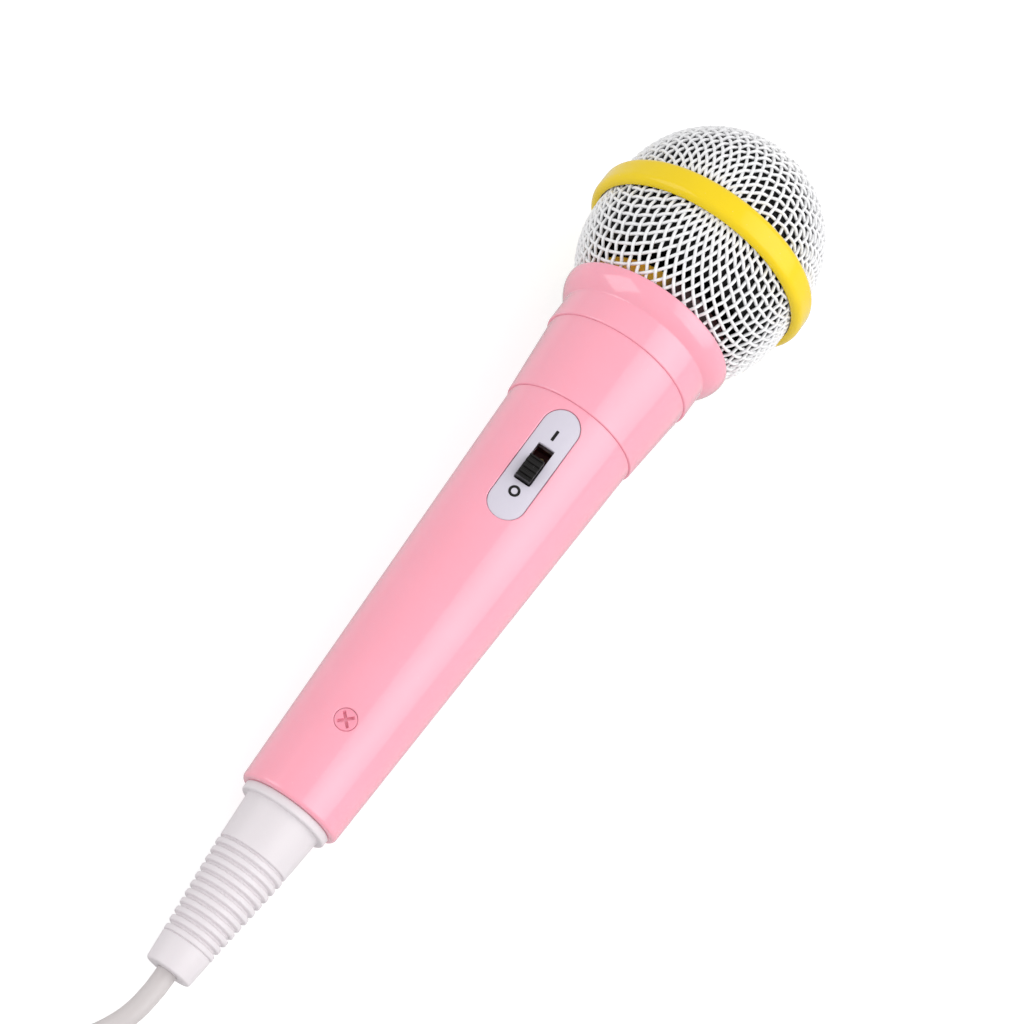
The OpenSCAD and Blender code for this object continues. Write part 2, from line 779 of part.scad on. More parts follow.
module plug_tip() {
    waist = jack_tip_len * 0.35;
    color("silver") at_plug() translate([0, 0, grip_len + sleeve_len + jack_ring])
        rotate_extrude($fn = 48) polygon([
            [0, 0], [jack_tip_r, 0], [jack_tip_r, waist * 0.5], [jack_tip_r * 0.75, waist],
            [jack_tip_r, waist + 1], [jack_tip_r, waist + 1.6], [jack_tip_r * 0.4, jack_tip_len],
            [0, jack_tip_len]
        ]);
}

handle_tube();
neck_housing();
head_collar();
lower_grille();
upper_grille();
grille_band();
foam_dome();
foam_ring();
capsule_cradle();
capsule_case();
capsule_front_cap();
diaphragm();
voice_coil();
capsule_magnet();
pole_plate();
magnet_yoke();
switch_plate();
switch_frame();
switch_base();
switch_terminals();
switch_knob();
switch_contact();
handle_screw();
tail_block();
strain_relief_boot();
inner_cord();
cable_crimp();
signal_wire();
link_wire();
ground_wire();
cord_lead();
cord_coil();
cord_tail();
cord_tie();
plug_grip();
plug_sleeve();
plug_insulator();
plug_tip();
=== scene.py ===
# %% [markdown]
# # A toy microphone in pink plastic
# The part is a hand-held toy microphone: a tapered pink handle with a slide switch, a flared collar, a
# ball of woven wire with a yellow band round it, and a white cord in a ribbed sleeve. The CAD model holds
# every size and every joint. Here each visible piece gets its finished surface and its material, in the
# same place and at the same size.

# %% Load the CAD model
import json
import math
import bmesh
import bpy
import numpy as np
from mathutils import Matrix, Vector, noise


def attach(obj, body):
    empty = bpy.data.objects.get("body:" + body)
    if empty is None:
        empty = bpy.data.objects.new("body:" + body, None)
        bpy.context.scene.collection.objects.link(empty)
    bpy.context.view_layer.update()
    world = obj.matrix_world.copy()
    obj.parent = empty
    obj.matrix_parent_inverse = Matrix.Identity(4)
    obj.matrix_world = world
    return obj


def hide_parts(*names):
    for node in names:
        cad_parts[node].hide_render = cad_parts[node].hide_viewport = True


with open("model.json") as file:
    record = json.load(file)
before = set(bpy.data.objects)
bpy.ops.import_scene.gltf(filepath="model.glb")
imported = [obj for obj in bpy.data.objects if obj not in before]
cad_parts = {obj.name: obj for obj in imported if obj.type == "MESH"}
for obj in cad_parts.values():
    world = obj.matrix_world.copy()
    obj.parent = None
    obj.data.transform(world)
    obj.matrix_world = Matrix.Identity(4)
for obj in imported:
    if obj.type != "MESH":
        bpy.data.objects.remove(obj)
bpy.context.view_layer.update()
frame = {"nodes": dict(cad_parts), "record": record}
scene = bpy.context.scene
print("nodes in the frame:", len(frame["nodes"]))

# %% [markdown]
# ## Where things are
# Nearly everything here is turned about one axis, which leans up from the table because the tail is thinner
# than the ball. So it is simplest to build in the microphone's own frame, where z runs from the tail face
# toward the head and x points to the switch side, in millimetres. One matrix then lays it on the table.

# %% The microphone's own frame
MM = 0.001
grip = next(m for m in frame["record"]["mounts"] if m["name"] == "grip_zone")
axis = Vector(grip["axis"]).normalized()
tail_centre = Vector((-72.979, 0, 11.447)) * MM
lean = math.atan2(axis.z, axis.x)
lay_down = (
    Matrix.Translation(tail_centre)
    @ Matrix.Rotation(math.pi / 2 - lean, 4, "Y")
    @ Matrix.Rotation(math.pi, 4, "Z")
    @ Matrix.Scale(MM, 4)
)
print("leans", round(math.degrees(lean), 2), "degrees")

# %% Sizes along the axis, in millimetres
TAIL_R, HEAD_R, HANDLE_LEN = 11.6, 15.7, 103.5
NECK_TAIL_R, NECK_HEAD_R, NECK_TOP = 16.15, 17.8, 122.2
COLLAR_R, LIP_R, LIP_TOP = 18.25, 20.95, 135.2
BALL_R, BAND_R, BAND_W = 25.7, 27.9, 6.8
LOW_CENTRE, TOP_CENTRE = 152.17, 161.97
BAND_AT = (LOW_CENTRE + TOP_CENTRE) / 2
SLOPE = math.atan2(HEAD_R - TAIL_R, HANDLE_LEN)
WALL, TAIL_WALL, SLEEVE_HOLE_R = 2.2, 2.4, 7.0
SPIGOT_R, SPIGOT_TOP, BORE_R = 14.7, 110.5, 13.5
THREAD_R, THREAD_WALL, THREAD_TOP, PLAY = 16.6, 1.6, 127.7, 0.1
PLATE_AT, PLATE_LEN, PLATE_W, SCREW_AT = 87.3, 28.6, 8.7, 19.5
SLOT_LEN, SLOT_W, STUD_AT, STUD_R = 9.6, 4.0, 10.01, 0.9


def handle_r(s):
    return TAIL_R + (HEAD_R - TAIL_R) * s / HANDLE_LEN


# %% [markdown]
# ## The camera
# The camera looks down on the microphone from the tail's side, far enough away that the handle's taper reads
# as a taper and not as perspective.

# %% Camera
camera = bpy.data.objects.new("camera", bpy.data.cameras.new("camera"))
scene.collection.objects.link(camera)
view_right = Vector((0.5441, -0.8239, 0.1587)).normalized()
view_back = Vector((-0.4377, -0.1173, 0.8915)).normalized()
view_up = view_back.cross(view_right).normalized()
view_right = view_up.cross(view_back)
facing = Matrix((view_right, view_up, view_back)).transposed().to_4x4()
ROLL = math.radians(0.23)
level = Matrix.Rotation(ROLL, 4, "Z")
camera.matrix_world = Matrix.Translation((-0.2352, -0.0655, 0.5145)) @ facing @ level
camera.data.lens, camera.data.sensor_width = 90.8, 36
camera.data.clip_start, camera.data.clip_end = 0.01, 20
scene.camera = camera

# %% [markdown]
# ## Helpers for making meshes
# Three ways of making cover the object: turning an outline about the axis, sweeping a round tube along a
# line, and stacking loops into a solid that can be a piece or a cutter. Corners get real fillets, since an
# edge with no radius never catches the light.

# %% Make an object from points and faces
SHARP = 32


def solid(name, points, faces, sharp=SHARP, place=lay_down):
    mesh = bpy.data.meshes.new(name)
    mesh.from_pydata([place @ Vector(p) for p in points], [], faces)
    return tidy_mesh(name, mesh, sharp)


def tidy_mesh(name, mesh, sharp):
    work = bmesh.new()
    work.from_mesh(mesh)
    bmesh.ops.remove_doubles(work, verts=work.verts, dist=2e-7)
    bmesh.ops.dissolve_degenerate(work, dist=1e-7, edges=work.edges)
    bmesh.ops.recalc_face_normals(work, faces=work.faces)
    work.to_mesh(mesh)
    work.free()
    mesh.shade_smooth()
    mesh.set_sharp_from_angle(angle=math.radians(sharp))
    obj = bpy.data.objects.new(name, mesh)
    scene.collection.objects.link(obj)
    return obj


# %% Turn an outline about the axis
def rounded(outline, steps=6):
    """A closed outline of (radius, station, fillet); each corner becomes an arc of its fillet."""
    n = len(outline)
    spots = [Vector(c[:2]) for c in outline]
    sides = [(spots[(i + 1) % n] - spots[i]).length for i in range(n)]
    halves, reach = [], []
    for i, corner in enumerate(outline):
        turn = (spots[i - 1] - spots[i]).angle(spots[(i + 1) % n] - spots[i], math.pi)
        halves.append(turn / 2)
        reach.append(corner[2] / math.tan(turn / 2) if len(corner) > 2 and turn < 3.1 else 0)
    for i in range(n):
        both = reach[i] + reach[(i + 1) % n]
        if both > 0.98 * sides[i]:
            reach[i] *= 0.98 * sides[i] / both
            reach[(i + 1) % n] *= 0.98 * sides[i] / both
    made = []
    for i, here in enumerate(spots):
        if not reach[i]:
            made.append(tuple(here))
            continue
        start = here + (spots[i - 1] - here).normalized() * reach[i]
        end = here + (spots[(i + 1) % n] - here).normalized() * reach[i]
        pull = math.sin(halves[i])
        for k in range(steps + 1):
            t = k / steps
            a, b, c = (1 - t) ** 2, 2 * pull * t * (1 - t), t * t
            made.append(tuple((a * start + b * here + c * end) / (a + b + c)))
    return made


def between(rings, n, closed=False):
    """Faces between rings of n points each; closed joins the last ring to the first."""
    return [
        (i * n + k, i * n + (k + 1) % n, (i + 1) % rings * n + (k + 1) % n, (i + 1) % rings * n + k)
        for i in range(rings if closed else rings - 1)
        for k in range(n)
    ]


def turned(name, outline, turns=192, sharp=SHARP, place=lay_down):
    angles = [2 * math.pi * k / turns for k in range(turns)]
    points = [(r * math.cos(a), r * math.sin(a), z) for a in angles for r, z in outline]
    return solid(name, points, between(turns, len(outline), True), sharp, place)


# %% Sweep a tube, stack loops, carve one solid with another
def tube_rings(line, radius, sides):
    """Points and faces of a round tube along a line, without twist, with closed ends."""
    line = np.asarray(line, float)
    along = np.gradient(line, axis=0)
    along /= np.linalg.norm(along, axis=1)[:, None]
    side = np.cross(along[0], (0, 0, 1) if abs(along[0][2]) < 0.9 else (1, 0, 0))
    rings = []
    for p, t in zip(line, along):
        side = side - t * side.dot(t)
        side /= np.linalg.norm(side)
        over = np.cross(t, side)
        turn = 2 * np.pi * np.arange(sides) / sides
        rings.append(p + radius * (np.cos(turn)[:, None] * side + np.sin(turn)[:, None] * over))
    points = np.concatenate(rings)
    n = len(line)
    faces = between(n, sides)
    faces += [tuple(range(sides))[::-1], tuple((n - 1) * sides + k for k in range(sides))]
    return points, faces


def stacked(name, loops):
    n = len(loops[0])
    points = [p for loop in loops for p in loop]
    faces = between(len(loops), n)
    last = (len(loops) - 1) * n
    faces += [tuple(range(n))[::-1], tuple(last + k for k in range(n))]
    return solid(name, points, faces)


def carve(obj, cutter, how="DIFFERENCE"):
    cut = obj.modifiers.new("cut", "BOOLEAN")
    cut.object, cut.operation, cut.solver = cutter, how, "EXACT"
    graph = bpy.context.evaluated_depsgraph_get()
    mesh = bpy.data.meshes.new_from_object(obj.evaluated_get(graph))
    name = obj.name
    for old in (obj, cutter):
        bpy.data.objects.remove(old)
    return tidy_mesh(name, mesh, SHARP)


# %% Places on the handle's switch side
def on_handle(station, y, z, height=0.0):
    """The point that far above the handle's surface, y across and z along from a station."""
    tilt = Matrix.Rotation(SLOPE, 3, "Y")
    base = Vector((handle_r(station), 0, station))
    x = 0.0
    for _ in range(8):
        p = base + tilt @ Vector((x, y, z))
        x -= math.hypot(p.x, p.y) - handle_r(p.z)
    return base + tilt @ Vector((x + height, y, z))


def above_handle(station, x, y, z):
    """The point x above the tangent plane at a station."""
    base = Vector((handle_r(station), 0, station))
    return base + Matrix.Rotation(SLOPE, 3, "Y") @ Vector((x, y, z))


# %% [markdown]
# ## Finishes
# Moulded plastic is never perfectly even. Its gloss comes from a polished mould, so under the gloss there
# is a slow waviness and, finer, a little grain, and on top sit a few hairline rubs and specks of dust. Each
# of these is one shader group that every material can use with its own values. The groups give out only
# colours, masks and heights, and each material keeps its own Principled shader.

# %% Start a shader group
def group(name, inputs, outputs):
    tree = bpy.data.node_groups.new(name, "ShaderNodeTree")
    for label, kind, value in inputs:
        made = tree.interface.new_socket(name=label, in_out="INPUT", socket_type=kind)
        made.default_value = value
    for label, kind in outputs:
        tree.interface.new_socket(name=label, in_out="OUTPUT", socket_type=kind)
    return tree, tree.nodes.new("NodeGroupInput"), tree.nodes.new("NodeGroupOutput")


def add(tree, kind, values=(), **settings):
    node = tree.nodes.new(kind)
    for key, value in settings.items():
        setattr(node, key, value)
    for key, value in dict(values).items():
        node.inputs[key].default_value = value
    return node


def link(start, given_out, end, taken_in):
    """Join an output of one node to an input of another, each by its name or number."""
    start.id_data.links.new(start.outputs[given_out], end.inputs[taken_in])


NUMBER, COLOUR = "NodeSocketFloat", "NodeSocketColor"


def place_texture(tree, scale_from, kind, **values):
    """A texture in the object's own coordinates, so many repeats to a millimetre."""
    where = add(tree, "ShaderNodeTexCoord")
    grow = add(tree, "ShaderNodeVectorMath", operation="SCALE")
    grow.inputs["Scale"].default_value = 1000.0
    link(where, "Object", grow, 0)
    texture = add(tree, kind, values)
    link(grow, 0, texture, "Vector")
    if scale_from is not None:
        tree.links.new(scale_from, texture.inputs["Scale"])
    return texture


# %% Moulded surface: slow waves and fine grain, as a height
tree, taken, given = group(
    "moulded surface",
    [("Waves", NUMBER, 0.3), ("Wave scale", NUMBER, 0.12), ("Grain", NUMBER, 0.1),
     ("Grain scale", NUMBER, 4.0)],
    [("Height", NUMBER)],
)
slow = place_texture(tree, taken.outputs["Wave scale"], "ShaderNodeTexNoise", Detail=2)
fine = place_texture(tree, taken.outputs["Grain scale"], "ShaderNodeTexNoise", Detail=3)
slow_part = add(tree, "ShaderNodeMath", operation="MULTIPLY")
fine_part = add(tree, "ShaderNodeMath", operation="MULTIPLY")
total = add(tree, "ShaderNodeMath", operation="ADD")
link(slow, "Fac", slow_part, 0)
link(taken, "Waves", slow_part, 1)
link(fine, "Fac", fine_part, 0)
link(taken, "Grain", fine_part, 1)
link(slow_part, 0, total, 0)
link(fine_part, 0, total, 1)
link(total, 0, given, "Height")
moulded_surface = tree

# %% Colour drift: the base colour wanders a little, as pigment does
tree, taken, given = group(
    "colour drift",
    [("Colour", COLOUR, (0.8, 0.8, 0.8, 1)), ("Deep", COLOUR, (0.7, 0.7, 0.7, 1)), ("Scale", NUMBER, 0.05)],
    [("Colour", COLOUR)],
)
cloud = place_texture(tree, taken.outputs["Scale"], "ShaderNodeTexNoise", Detail=4)
spread = add(tree, "ShaderNodeMapRange", {"From Min": 0.35, "From Max": 0.7})
blend = add(tree, "ShaderNodeMix", data_type="RGBA")
link(cloud, "Fac", spread, "Value")
link(spread, "Result", blend, "Factor")
link(taken, "Colour", blend, 6)
link(taken, "Deep", blend, 7)
link(blend, 2, given, "Colour")
colour_drift = tree

# %% Rubs and dust: hairline rubs and specks, as a roughness and a mask
tree, taken, given = group(
    "rubs and dust",
    [("Roughness", NUMBER, 0.2), ("Rubbed", NUMBER, 0.35), ("Amount", NUMBER, 0.3)],
    [("Roughness", NUMBER), ("Dust", NUMBER)],
)
patch = place_texture(tree, None, "ShaderNodeTexNoise", Scale=0.11, Detail=5)
hair = place_texture(tree, None, "ShaderNodeTexNoise", Scale=1.4, Detail=6, Distortion=1.5)
patchy = add(tree, "ShaderNodeMapRange", {"From Min": 0.45, "From Max": 0.75})
streak = add(tree, "ShaderNodeMapRange", {"From Min": 0.5, "From Max": 0.72})
worn = add(tree, "ShaderNodeMath", operation="MULTIPLY")
amount = add(tree, "ShaderNodeMath", operation="MULTIPLY", use_clamp=True)
rough = add(tree, "ShaderNodeMix", data_type="FLOAT")
speck = place_texture(tree, None, "ShaderNodeTexVoronoi", Scale=0.55)
near = add(tree, "ShaderNodeMapRange", {"From Min": 0.05, "From Max": 0.035})
dusty = add(tree, "ShaderNodeMath", operation="MULTIPLY", use_clamp=True)
link(patch, "Fac", patchy, "Value")
link(hair, "Fac", streak, "Value")
link(patchy, "Result", worn, 0)
link(streak, "Result", worn, 1)
link(worn, 0, amount, 0)
link(taken, "Amount", amount, 1)
link(amount, 0, rough, "Factor")
link(taken, "Roughness", rough, "A")
link(taken, "Rubbed", rough, "B")
link(rough, "Result", given, "Roughness")
link(speck, "Distance", near, "Value")
link(near, "Result", dusty, 0)
link(taken, "Amount", dusty, 1)
link(dusty, 0, given, "Dust")
rubs_and_dust = tree
print("shader groups:", [g.name for g in bpy.data.node_groups])

# %% One function mixes the groups into a finish
def finish(name, colour, deep=None, rough=0.2, rubbed=None, wear=0.3, waves=0.3, wave_scale=0.12,
           grain=0.1, grain_scale=4.0, bump=0.12, drift_scale=0.05, **shader_values):
    """A material. colour and deep are the two ends of its drift; shader_values go on the Principled."""
    deep = deep or tuple(0.9 * c for c in colour)
    rubbed = rubbed if rubbed is not None else min(1.0, rough + 0.18)
    material = bpy.data.materials.new(name)
    material.use_nodes = True
    nodes = material.node_tree
    nodes.nodes.clear()
    shader = add(nodes, "ShaderNodeBsdfPrincipled", shader_values)
    out = add(nodes, "ShaderNodeOutputMaterial")
    drift = add(nodes, "ShaderNodeGroup", {"Colour": (*colour, 1), "Deep": (*deep, 1), "Scale": drift_scale},
                node_tree=colour_drift)
    rubs = add(nodes, "ShaderNodeGroup", {"Roughness": rough, "Rubbed": rubbed, "Amount": wear},
               node_tree=rubs_and_dust)
    surface = add(nodes, "ShaderNodeGroup", {"Waves": waves, "Wave scale": wave_scale, "Grain": grain,
                                             "Grain scale": grain_scale}, node_tree=moulded_surface)
    relief = add(nodes, "ShaderNodeBump", {"Strength": bump, "Distance": 0.0003})
    dusted = add(nodes, "ShaderNodeMix", data_type="RGBA")
    dusted.inputs[7].default_value = (0.82, 0.80, 0.78, 1)
    link(drift, "Colour", dusted, 6)
    link(rubs, "Dust", dusted, "Factor")
    link(dusted, 2, shader, "Base Color")
    link(rubs, "Roughness", shader, "Roughness")
    link(surface, "Height", relief, "Height")
    link(relief, "Normal", shader, "Normal")
    link(shader, 0, out, "Surface")
    return material


# %% [markdown]
# The pink is a glossy ABS with a little light going into it, which softens the shadows in the seams. The
# yellow is the same plastic in another colour. The wire is powder-coated, so it is half matt with a fine
# orange peel. The sleeve and the cord are satin vinyl, and the foam behind the wire swallows all light.

# %% The materials
def depth(weight, radius, scale):
    """How much light goes into a plastic, and how far."""
    return {"Subsurface Weight": weight, "Subsurface Radius": radius, "Subsurface Scale": scale}


soft = depth(0.12, (1.0, 0.45, 0.4), 0.002)
gloss = {"Coat Weight": 0.8, "Coat Roughness": 0.07}
looks = {
    "pink_plastic": finish("pink plastic", (0.90, 0.352, 0.45), (0.88, 0.338, 0.43), rough=0.16, wear=0.2,
                           bump=0.05, **soft, **gloss),
    "pink_screw": finish("pink screw", (0.88, 0.32, 0.42), rough=0.22, wear=0.3, bump=0.06, **soft),
    "white_wire": finish("powder-coated wire", (0.87, 0.87, 0.875), (0.80, 0.80, 0.815), rough=0.4, wear=0.4,
                         waves=0.1, grain=0.5, grain_scale=6.0, bump=0.25),
    "yellow_plastic": finish("yellow plastic", (0.84, 0.61, 0.004), (0.80, 0.57, 0.004), rough=0.16, wear=0.3,
                             bump=0.05, **{"Specular IOR Level": 0.3, "Coat Weight": 0.15,
                                           "Coat Roughness": 0.06}),
    "black_foam": finish("black foam", (0.010, 0.010, 0.011), (0.004, 0.004, 0.004), rough=0.95, wear=0,
                         waves=0.2, grain=1.0, grain_scale=2.2, bump=1.0, drift_scale=1.2),
    # The amber is the cradle's own colour, made brighter as painted light for the light shining through it;
    # its far side gets painted shade from the ring's group below.
    "amber_plastic": finish("amber plastic", (1.0, 0.64, 0.05), (0.98, 0.36, 0.02), rough=0.3, wear=0.1,
                            **depth(0.4, (1.0, 0.6, 0.2), 0.002)),
    "capsule_steel": finish("capsule steel", (0.52, 0.52, 0.54), rough=0.35, wear=0.6, Metallic=1.0),
    "capsule_black": finish("capsule black", (0.02, 0.02, 0.022), rough=0.45, wear=0.4),
    "clear_film": finish("clear film", (0.72, 0.68, 0.50), rough=0.2, wear=0.1),
    "copper_wire": finish("copper winding", (0.74, 0.34, 0.17), rough=0.3, grain=0.6, grain_scale=9,
                          Metallic=1.0),
    "dark_magnet": finish("dark magnet", (0.06, 0.06, 0.065), rough=0.55, wear=0.5),
    "lavender_plastic": finish("lavender white plastic", (0.60, 0.57, 0.65), (0.575, 0.545, 0.625), rough=0.3,
                               wear=0.3, grain=0.3, bump=0.08,
                               **depth(0.1, (0.8, 0.7, 0.9), 0.001)),
    "switch_steel": finish("switch steel", (0.30, 0.30, 0.31), rough=0.4, wear=0.6, Metallic=1.0),
    "dark_red_board": finish("dark red moulding", (0.085, 0.006, 0.006), (0.05, 0.004, 0.004), rough=0.5),
    "brass_pins": finish("brass pins", (0.70, 0.52, 0.24), rough=0.3, wear=0.5, Metallic=1.0),
    "black_knob": finish("black knob", (0.005, 0.0045, 0.0045), (0.010, 0.009, 0.009), rough=0.3, wear=0.1,
                         rubbed=0.45, bump=0.1, **{"Specular IOR Level": 0.25}),
    "ivory_plastic": finish("ivory block", (0.72, 0.68, 0.58), rough=0.45, wear=0.3),
    "white_boot": finish("white vinyl sleeve", (0.71, 0.665, 0.69), (0.685, 0.64, 0.665), rough=0.4, wear=0.5,
                         grain=0.3, bump=0.1, **depth(0.15, (1.0, 0.9, 0.9), 0.002)),
    "white_cord": finish("white vinyl cord", (0.58, 0.54, 0.54), (0.555, 0.515, 0.515), rough=0.38, wear=0.6,
                         waves=0.6, wave_scale=0.25, bump=0.12,
                         **depth(0.15, (1.0, 0.9, 0.9), 0.0015)),
    "red_wire": finish("red wire", (0.55, 0.02, 0.02), rough=0.4),
    "yellow_wire": finish("yellow wire", (0.75, 0.55, 0.03), rough=0.4),
    "black_wire": finish("black wire", (0.02, 0.02, 0.02), rough=0.4),
    "grey_tie": finish("grey hook-and-loop tie", (0.16, 0.165, 0.17), (0.11, 0.115, 0.12), rough=0.9,
                       wear=0.1, grain=1.0, grain_scale=5.0, bump=0.7, drift_scale=1.5,
                       **{"Sheen Weight": 0.3}),
    "white_grip": finish("white plug grip", (0.77, 0.75, 0.75), rough=0.42, wear=0.4, grain=0.35, bump=0.12),
    "nickel": finish("nickel plate", (0.78, 0.76, 0.73), (0.70, 0.68, 0.65), rough=0.14, wear=0.5,
                     rubbed=0.3, bump=0.03, Metallic=1.0),
    "black_ring": finish("black ring", (0.02, 0.02, 0.02), rough=0.4),
}
print("finishes:", len(looks))

# %% [markdown]
# The ring that carries the capsule shows through the mesh just above the lip. Its amber is painted bright on
# the lit side, and its other side is painted shade in dark red, so one more group blends the two from side to
# side.

# %% The ring's painted lit side and painted shade
tree, taken, given = group(
    "painted lit and shaded sides", [("Lit", COLOUR, (1, 1, 1, 1)), ("Shaded", COLOUR, (0, 0, 0, 1))], [("Colour", COLOUR)])
where = add(tree, "ShaderNodeTexCoord")
parts = add(tree, "ShaderNodeSeparateXYZ")
# Where the ring's y is above zero it takes the lit amber, below it the painted shade.
side = add(tree, "ShaderNodeMapRange", {"From Min": -0.001, "From Max": 0.003})
blend = add(tree, "ShaderNodeMix", data_type="RGBA")
link(where, "Object", parts, 0)
link(parts, "Y", side, "Value")
link(side, "Result", blend, "Factor")
link(taken, "Shaded", blend, 6)
link(taken, "Lit", blend, 7)
link(blend, 2, given, "Colour")
amber = looks["amber_plastic"].node_tree
both = add(amber, "ShaderNodeGroup", node_tree=tree)
# This dark red is painted shade: the side of the ring that is turned away from the light.
both.inputs["Shaded"].default_value = (0.045, 0.006, 0.008, 1)
drifted = next(n for n in amber.nodes if n.type == "GROUP" and n.node_tree == colour_drift)
target = drifted.outputs["Colour"].links[0].to_socket
link(drifted, "Colour", both, "Lit")
amber.links.new(both.outputs["Colour"], target)


# %% Give a piece its finish, its body and the CAD nodes it stands for
def settle(obj, slot, *nodes, body="microphone"):
    obj.data.materials.clear()
    obj.data.materials.append(looks[slot])
    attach(obj, body)
    if nodes:
        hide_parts(*nodes)
    return obj


# %% [markdown]
# ## The cord
# A child's microphone has a thin round cord of about four and a half millimetres. It leaves the sleeve
# straight, sinks to the table, and the rest is wound up as for storage: flat turns beside and on each
# other, held by a tie. The lower layer winds inward and the upper one outward, so both ends come out at the
# outside. The line is laid out first and then a tube is swept along it.

# %% Lay out the cord's line
CORD_R = 2.25
SLEEVE_END = Vector((-113.256, 0, 0))
COIL_AT, COIL_IN = Vector((-59, -2, 0)), 38
TURN_R = [33.75, 29.25, 24.75, 20.25]
LOW_Z, HIGH_Z = CORD_R, 3 * CORD_R


def ease(t):
    t = min(1.0, max(0.0, t))
    return t * t * (3 - 2 * t)


def coil_point(turned_by):
    """Radius and height of the strand after so many degrees from where it enters the coil."""
    lap, rest = divmod(turned_by, 360)
    lap = int(lap)
    if lap < 4:
        if lap == 3:
            return TURN_R[3], LOW_Z + (HIGH_Z - LOW_Z) * ease((rest - 260) / 50)
        return TURN_R[lap] + (TURN_R[lap + 1] - TURN_R[lap]) * ease((rest - 310) / 50), LOW_Z
    inner, outer = TURN_R[max(0, 7 - lap)], TURN_R[max(0, 6 - lap)]
    return inner + (outer - inner) * ease((rest - 210) / 50), HIGH_Z


def coil_line(last=7 * 360 + 52, step=6):
    made = []
    for k in range(int(last / step) + 1):
        by = min(last, k * step)
        r, z = coil_point(by)
        a = math.radians(COIL_IN + by)
        made.append(COIL_AT + Vector((r * math.cos(a), r * math.sin(a), z)))
    return made


lead = [(0, 0, 7.203), (-4.97, 0, 6.68), (-11, 1, 5.6), (-17, 3.8, 4.2), (-23, 8.2, 3), (-28, 13.6, 2.4)]
tail = [(-67, 31.6, 6.4), (-75, 31, 5.6), (-82, 30.3, 4.8), (-87, 30, 4.5), (-92, 30, 4.5)]
route = [Vector(p) for p in lead] + coil_line() + [Vector(p) for p in tail]


# %% Smooth the line and step along it evenly
def between_points(a, b, c, d, t):
    """The point at t from b to c, on a smooth curve through a, b, c and d."""
    return 0.5 * (2 * b + (c - a) * t + (2 * a - 5 * b + 4 * c - d) * t**2
                  + (3 * b - a - 3 * c + d) * t**3)


def smooth_line(points, gap):
    p = np.array([tuple(v) for v in points])
    p = np.vstack([2 * p[0] - p[1], p, 2 * p[-1] - p[-2]])
    fine = []
    for i in range(1, len(p) - 2):
        a, b, c, d = p[i - 1:i + 3]
        for t in np.linspace(0, 1, 9)[:-1]:
            fine.append(between_points(a, b, c, d, t))
    fine = np.array(fine + [p[-2]])
    run = np.r_[0, np.cumsum(np.linalg.norm(np.diff(fine, axis=0), axis=1))]
    stops = np.linspace(0, run[-1], int(run[-1] / gap) + 1)
    return np.stack([np.interp(stops, run, fine[:, k]) for k in range(3)], 1), run[-1]


cord_line, cord_length = smooth_line(route, 2.0)
cord_line = cord_line + np.array(SLEEVE_END)
print("the cord is", round(cord_length), "mm long, in", len(cord_line), "steps")

# %% Sweep the cord and its tie
table = Matrix.Scale(MM, 4)
points, faces = tube_rings(cord_line, CORD_R, 20)
cord = solid("cord", points, faces, place=table)
settle(cord, "white_cord", "cord_lead", "cord_coil", "cord_tail")

TIE_AT, TIE_W, TIE_T = math.radians(215), 5.0, 0.6
TIE_R = (TURN_R[0] + TURN_R[-1]) / 2
half, top = 4 * CORD_R + 0.5 + TIE_T, 4 * CORD_R + TIE_T


def tie_place(x, y, z):
    c, s = math.cos(TIE_AT), math.sin(TIE_AT)
    centre = SLEEVE_END + COIL_AT
    return centre + Vector(((TIE_R + x) * c - y * s, (TIE_R + x) * s + y * c, z))


outer = rounded([(-half, 0, 1.6), (half, 0, 1.6), (half, 3.05, 2.4), (3.55, top, 2.4), (-half, top, 2.4)], 5)
inner = rounded([(-half + TIE_T, TIE_T, 1.0), (half - TIE_T, TIE_T, 1.0), (half - TIE_T, 2.8, 1.8),
                 (3.3, top - TIE_T, 1.8), (-half + TIE_T, top - TIE_T, 1.8)], 5)
rows = [(-TIE_W / 2, 0.12), (-TIE_W / 2 + 0.12, 0), (TIE_W / 2 - 0.12, 0), (TIE_W / 2, 0.12)]
shells = [(outer, y, -pinch) for y, pinch in rows] + [(inner, y, pinch) for y, pinch in reversed(rows)]
points = []
for ring, y, pinch in shells:
    for x, z in ring:
        away = Vector((x, z - top / 2)).normalized() * pinch
        points.append(tie_place(x + away.x, y, max(0.02, z + away.y)))
tie = solid("cord_tie_band", points, between(len(shells), len(outer), True), place=table)
settle(tie, "grey_tie", "cord_tie")

# %% [markdown]
# The plug is the usual one for such a cord: a moulded grip with ridges for the fingers and a thin flex
# guard behind it, and a nickel pin in two parts with a black ring between them.

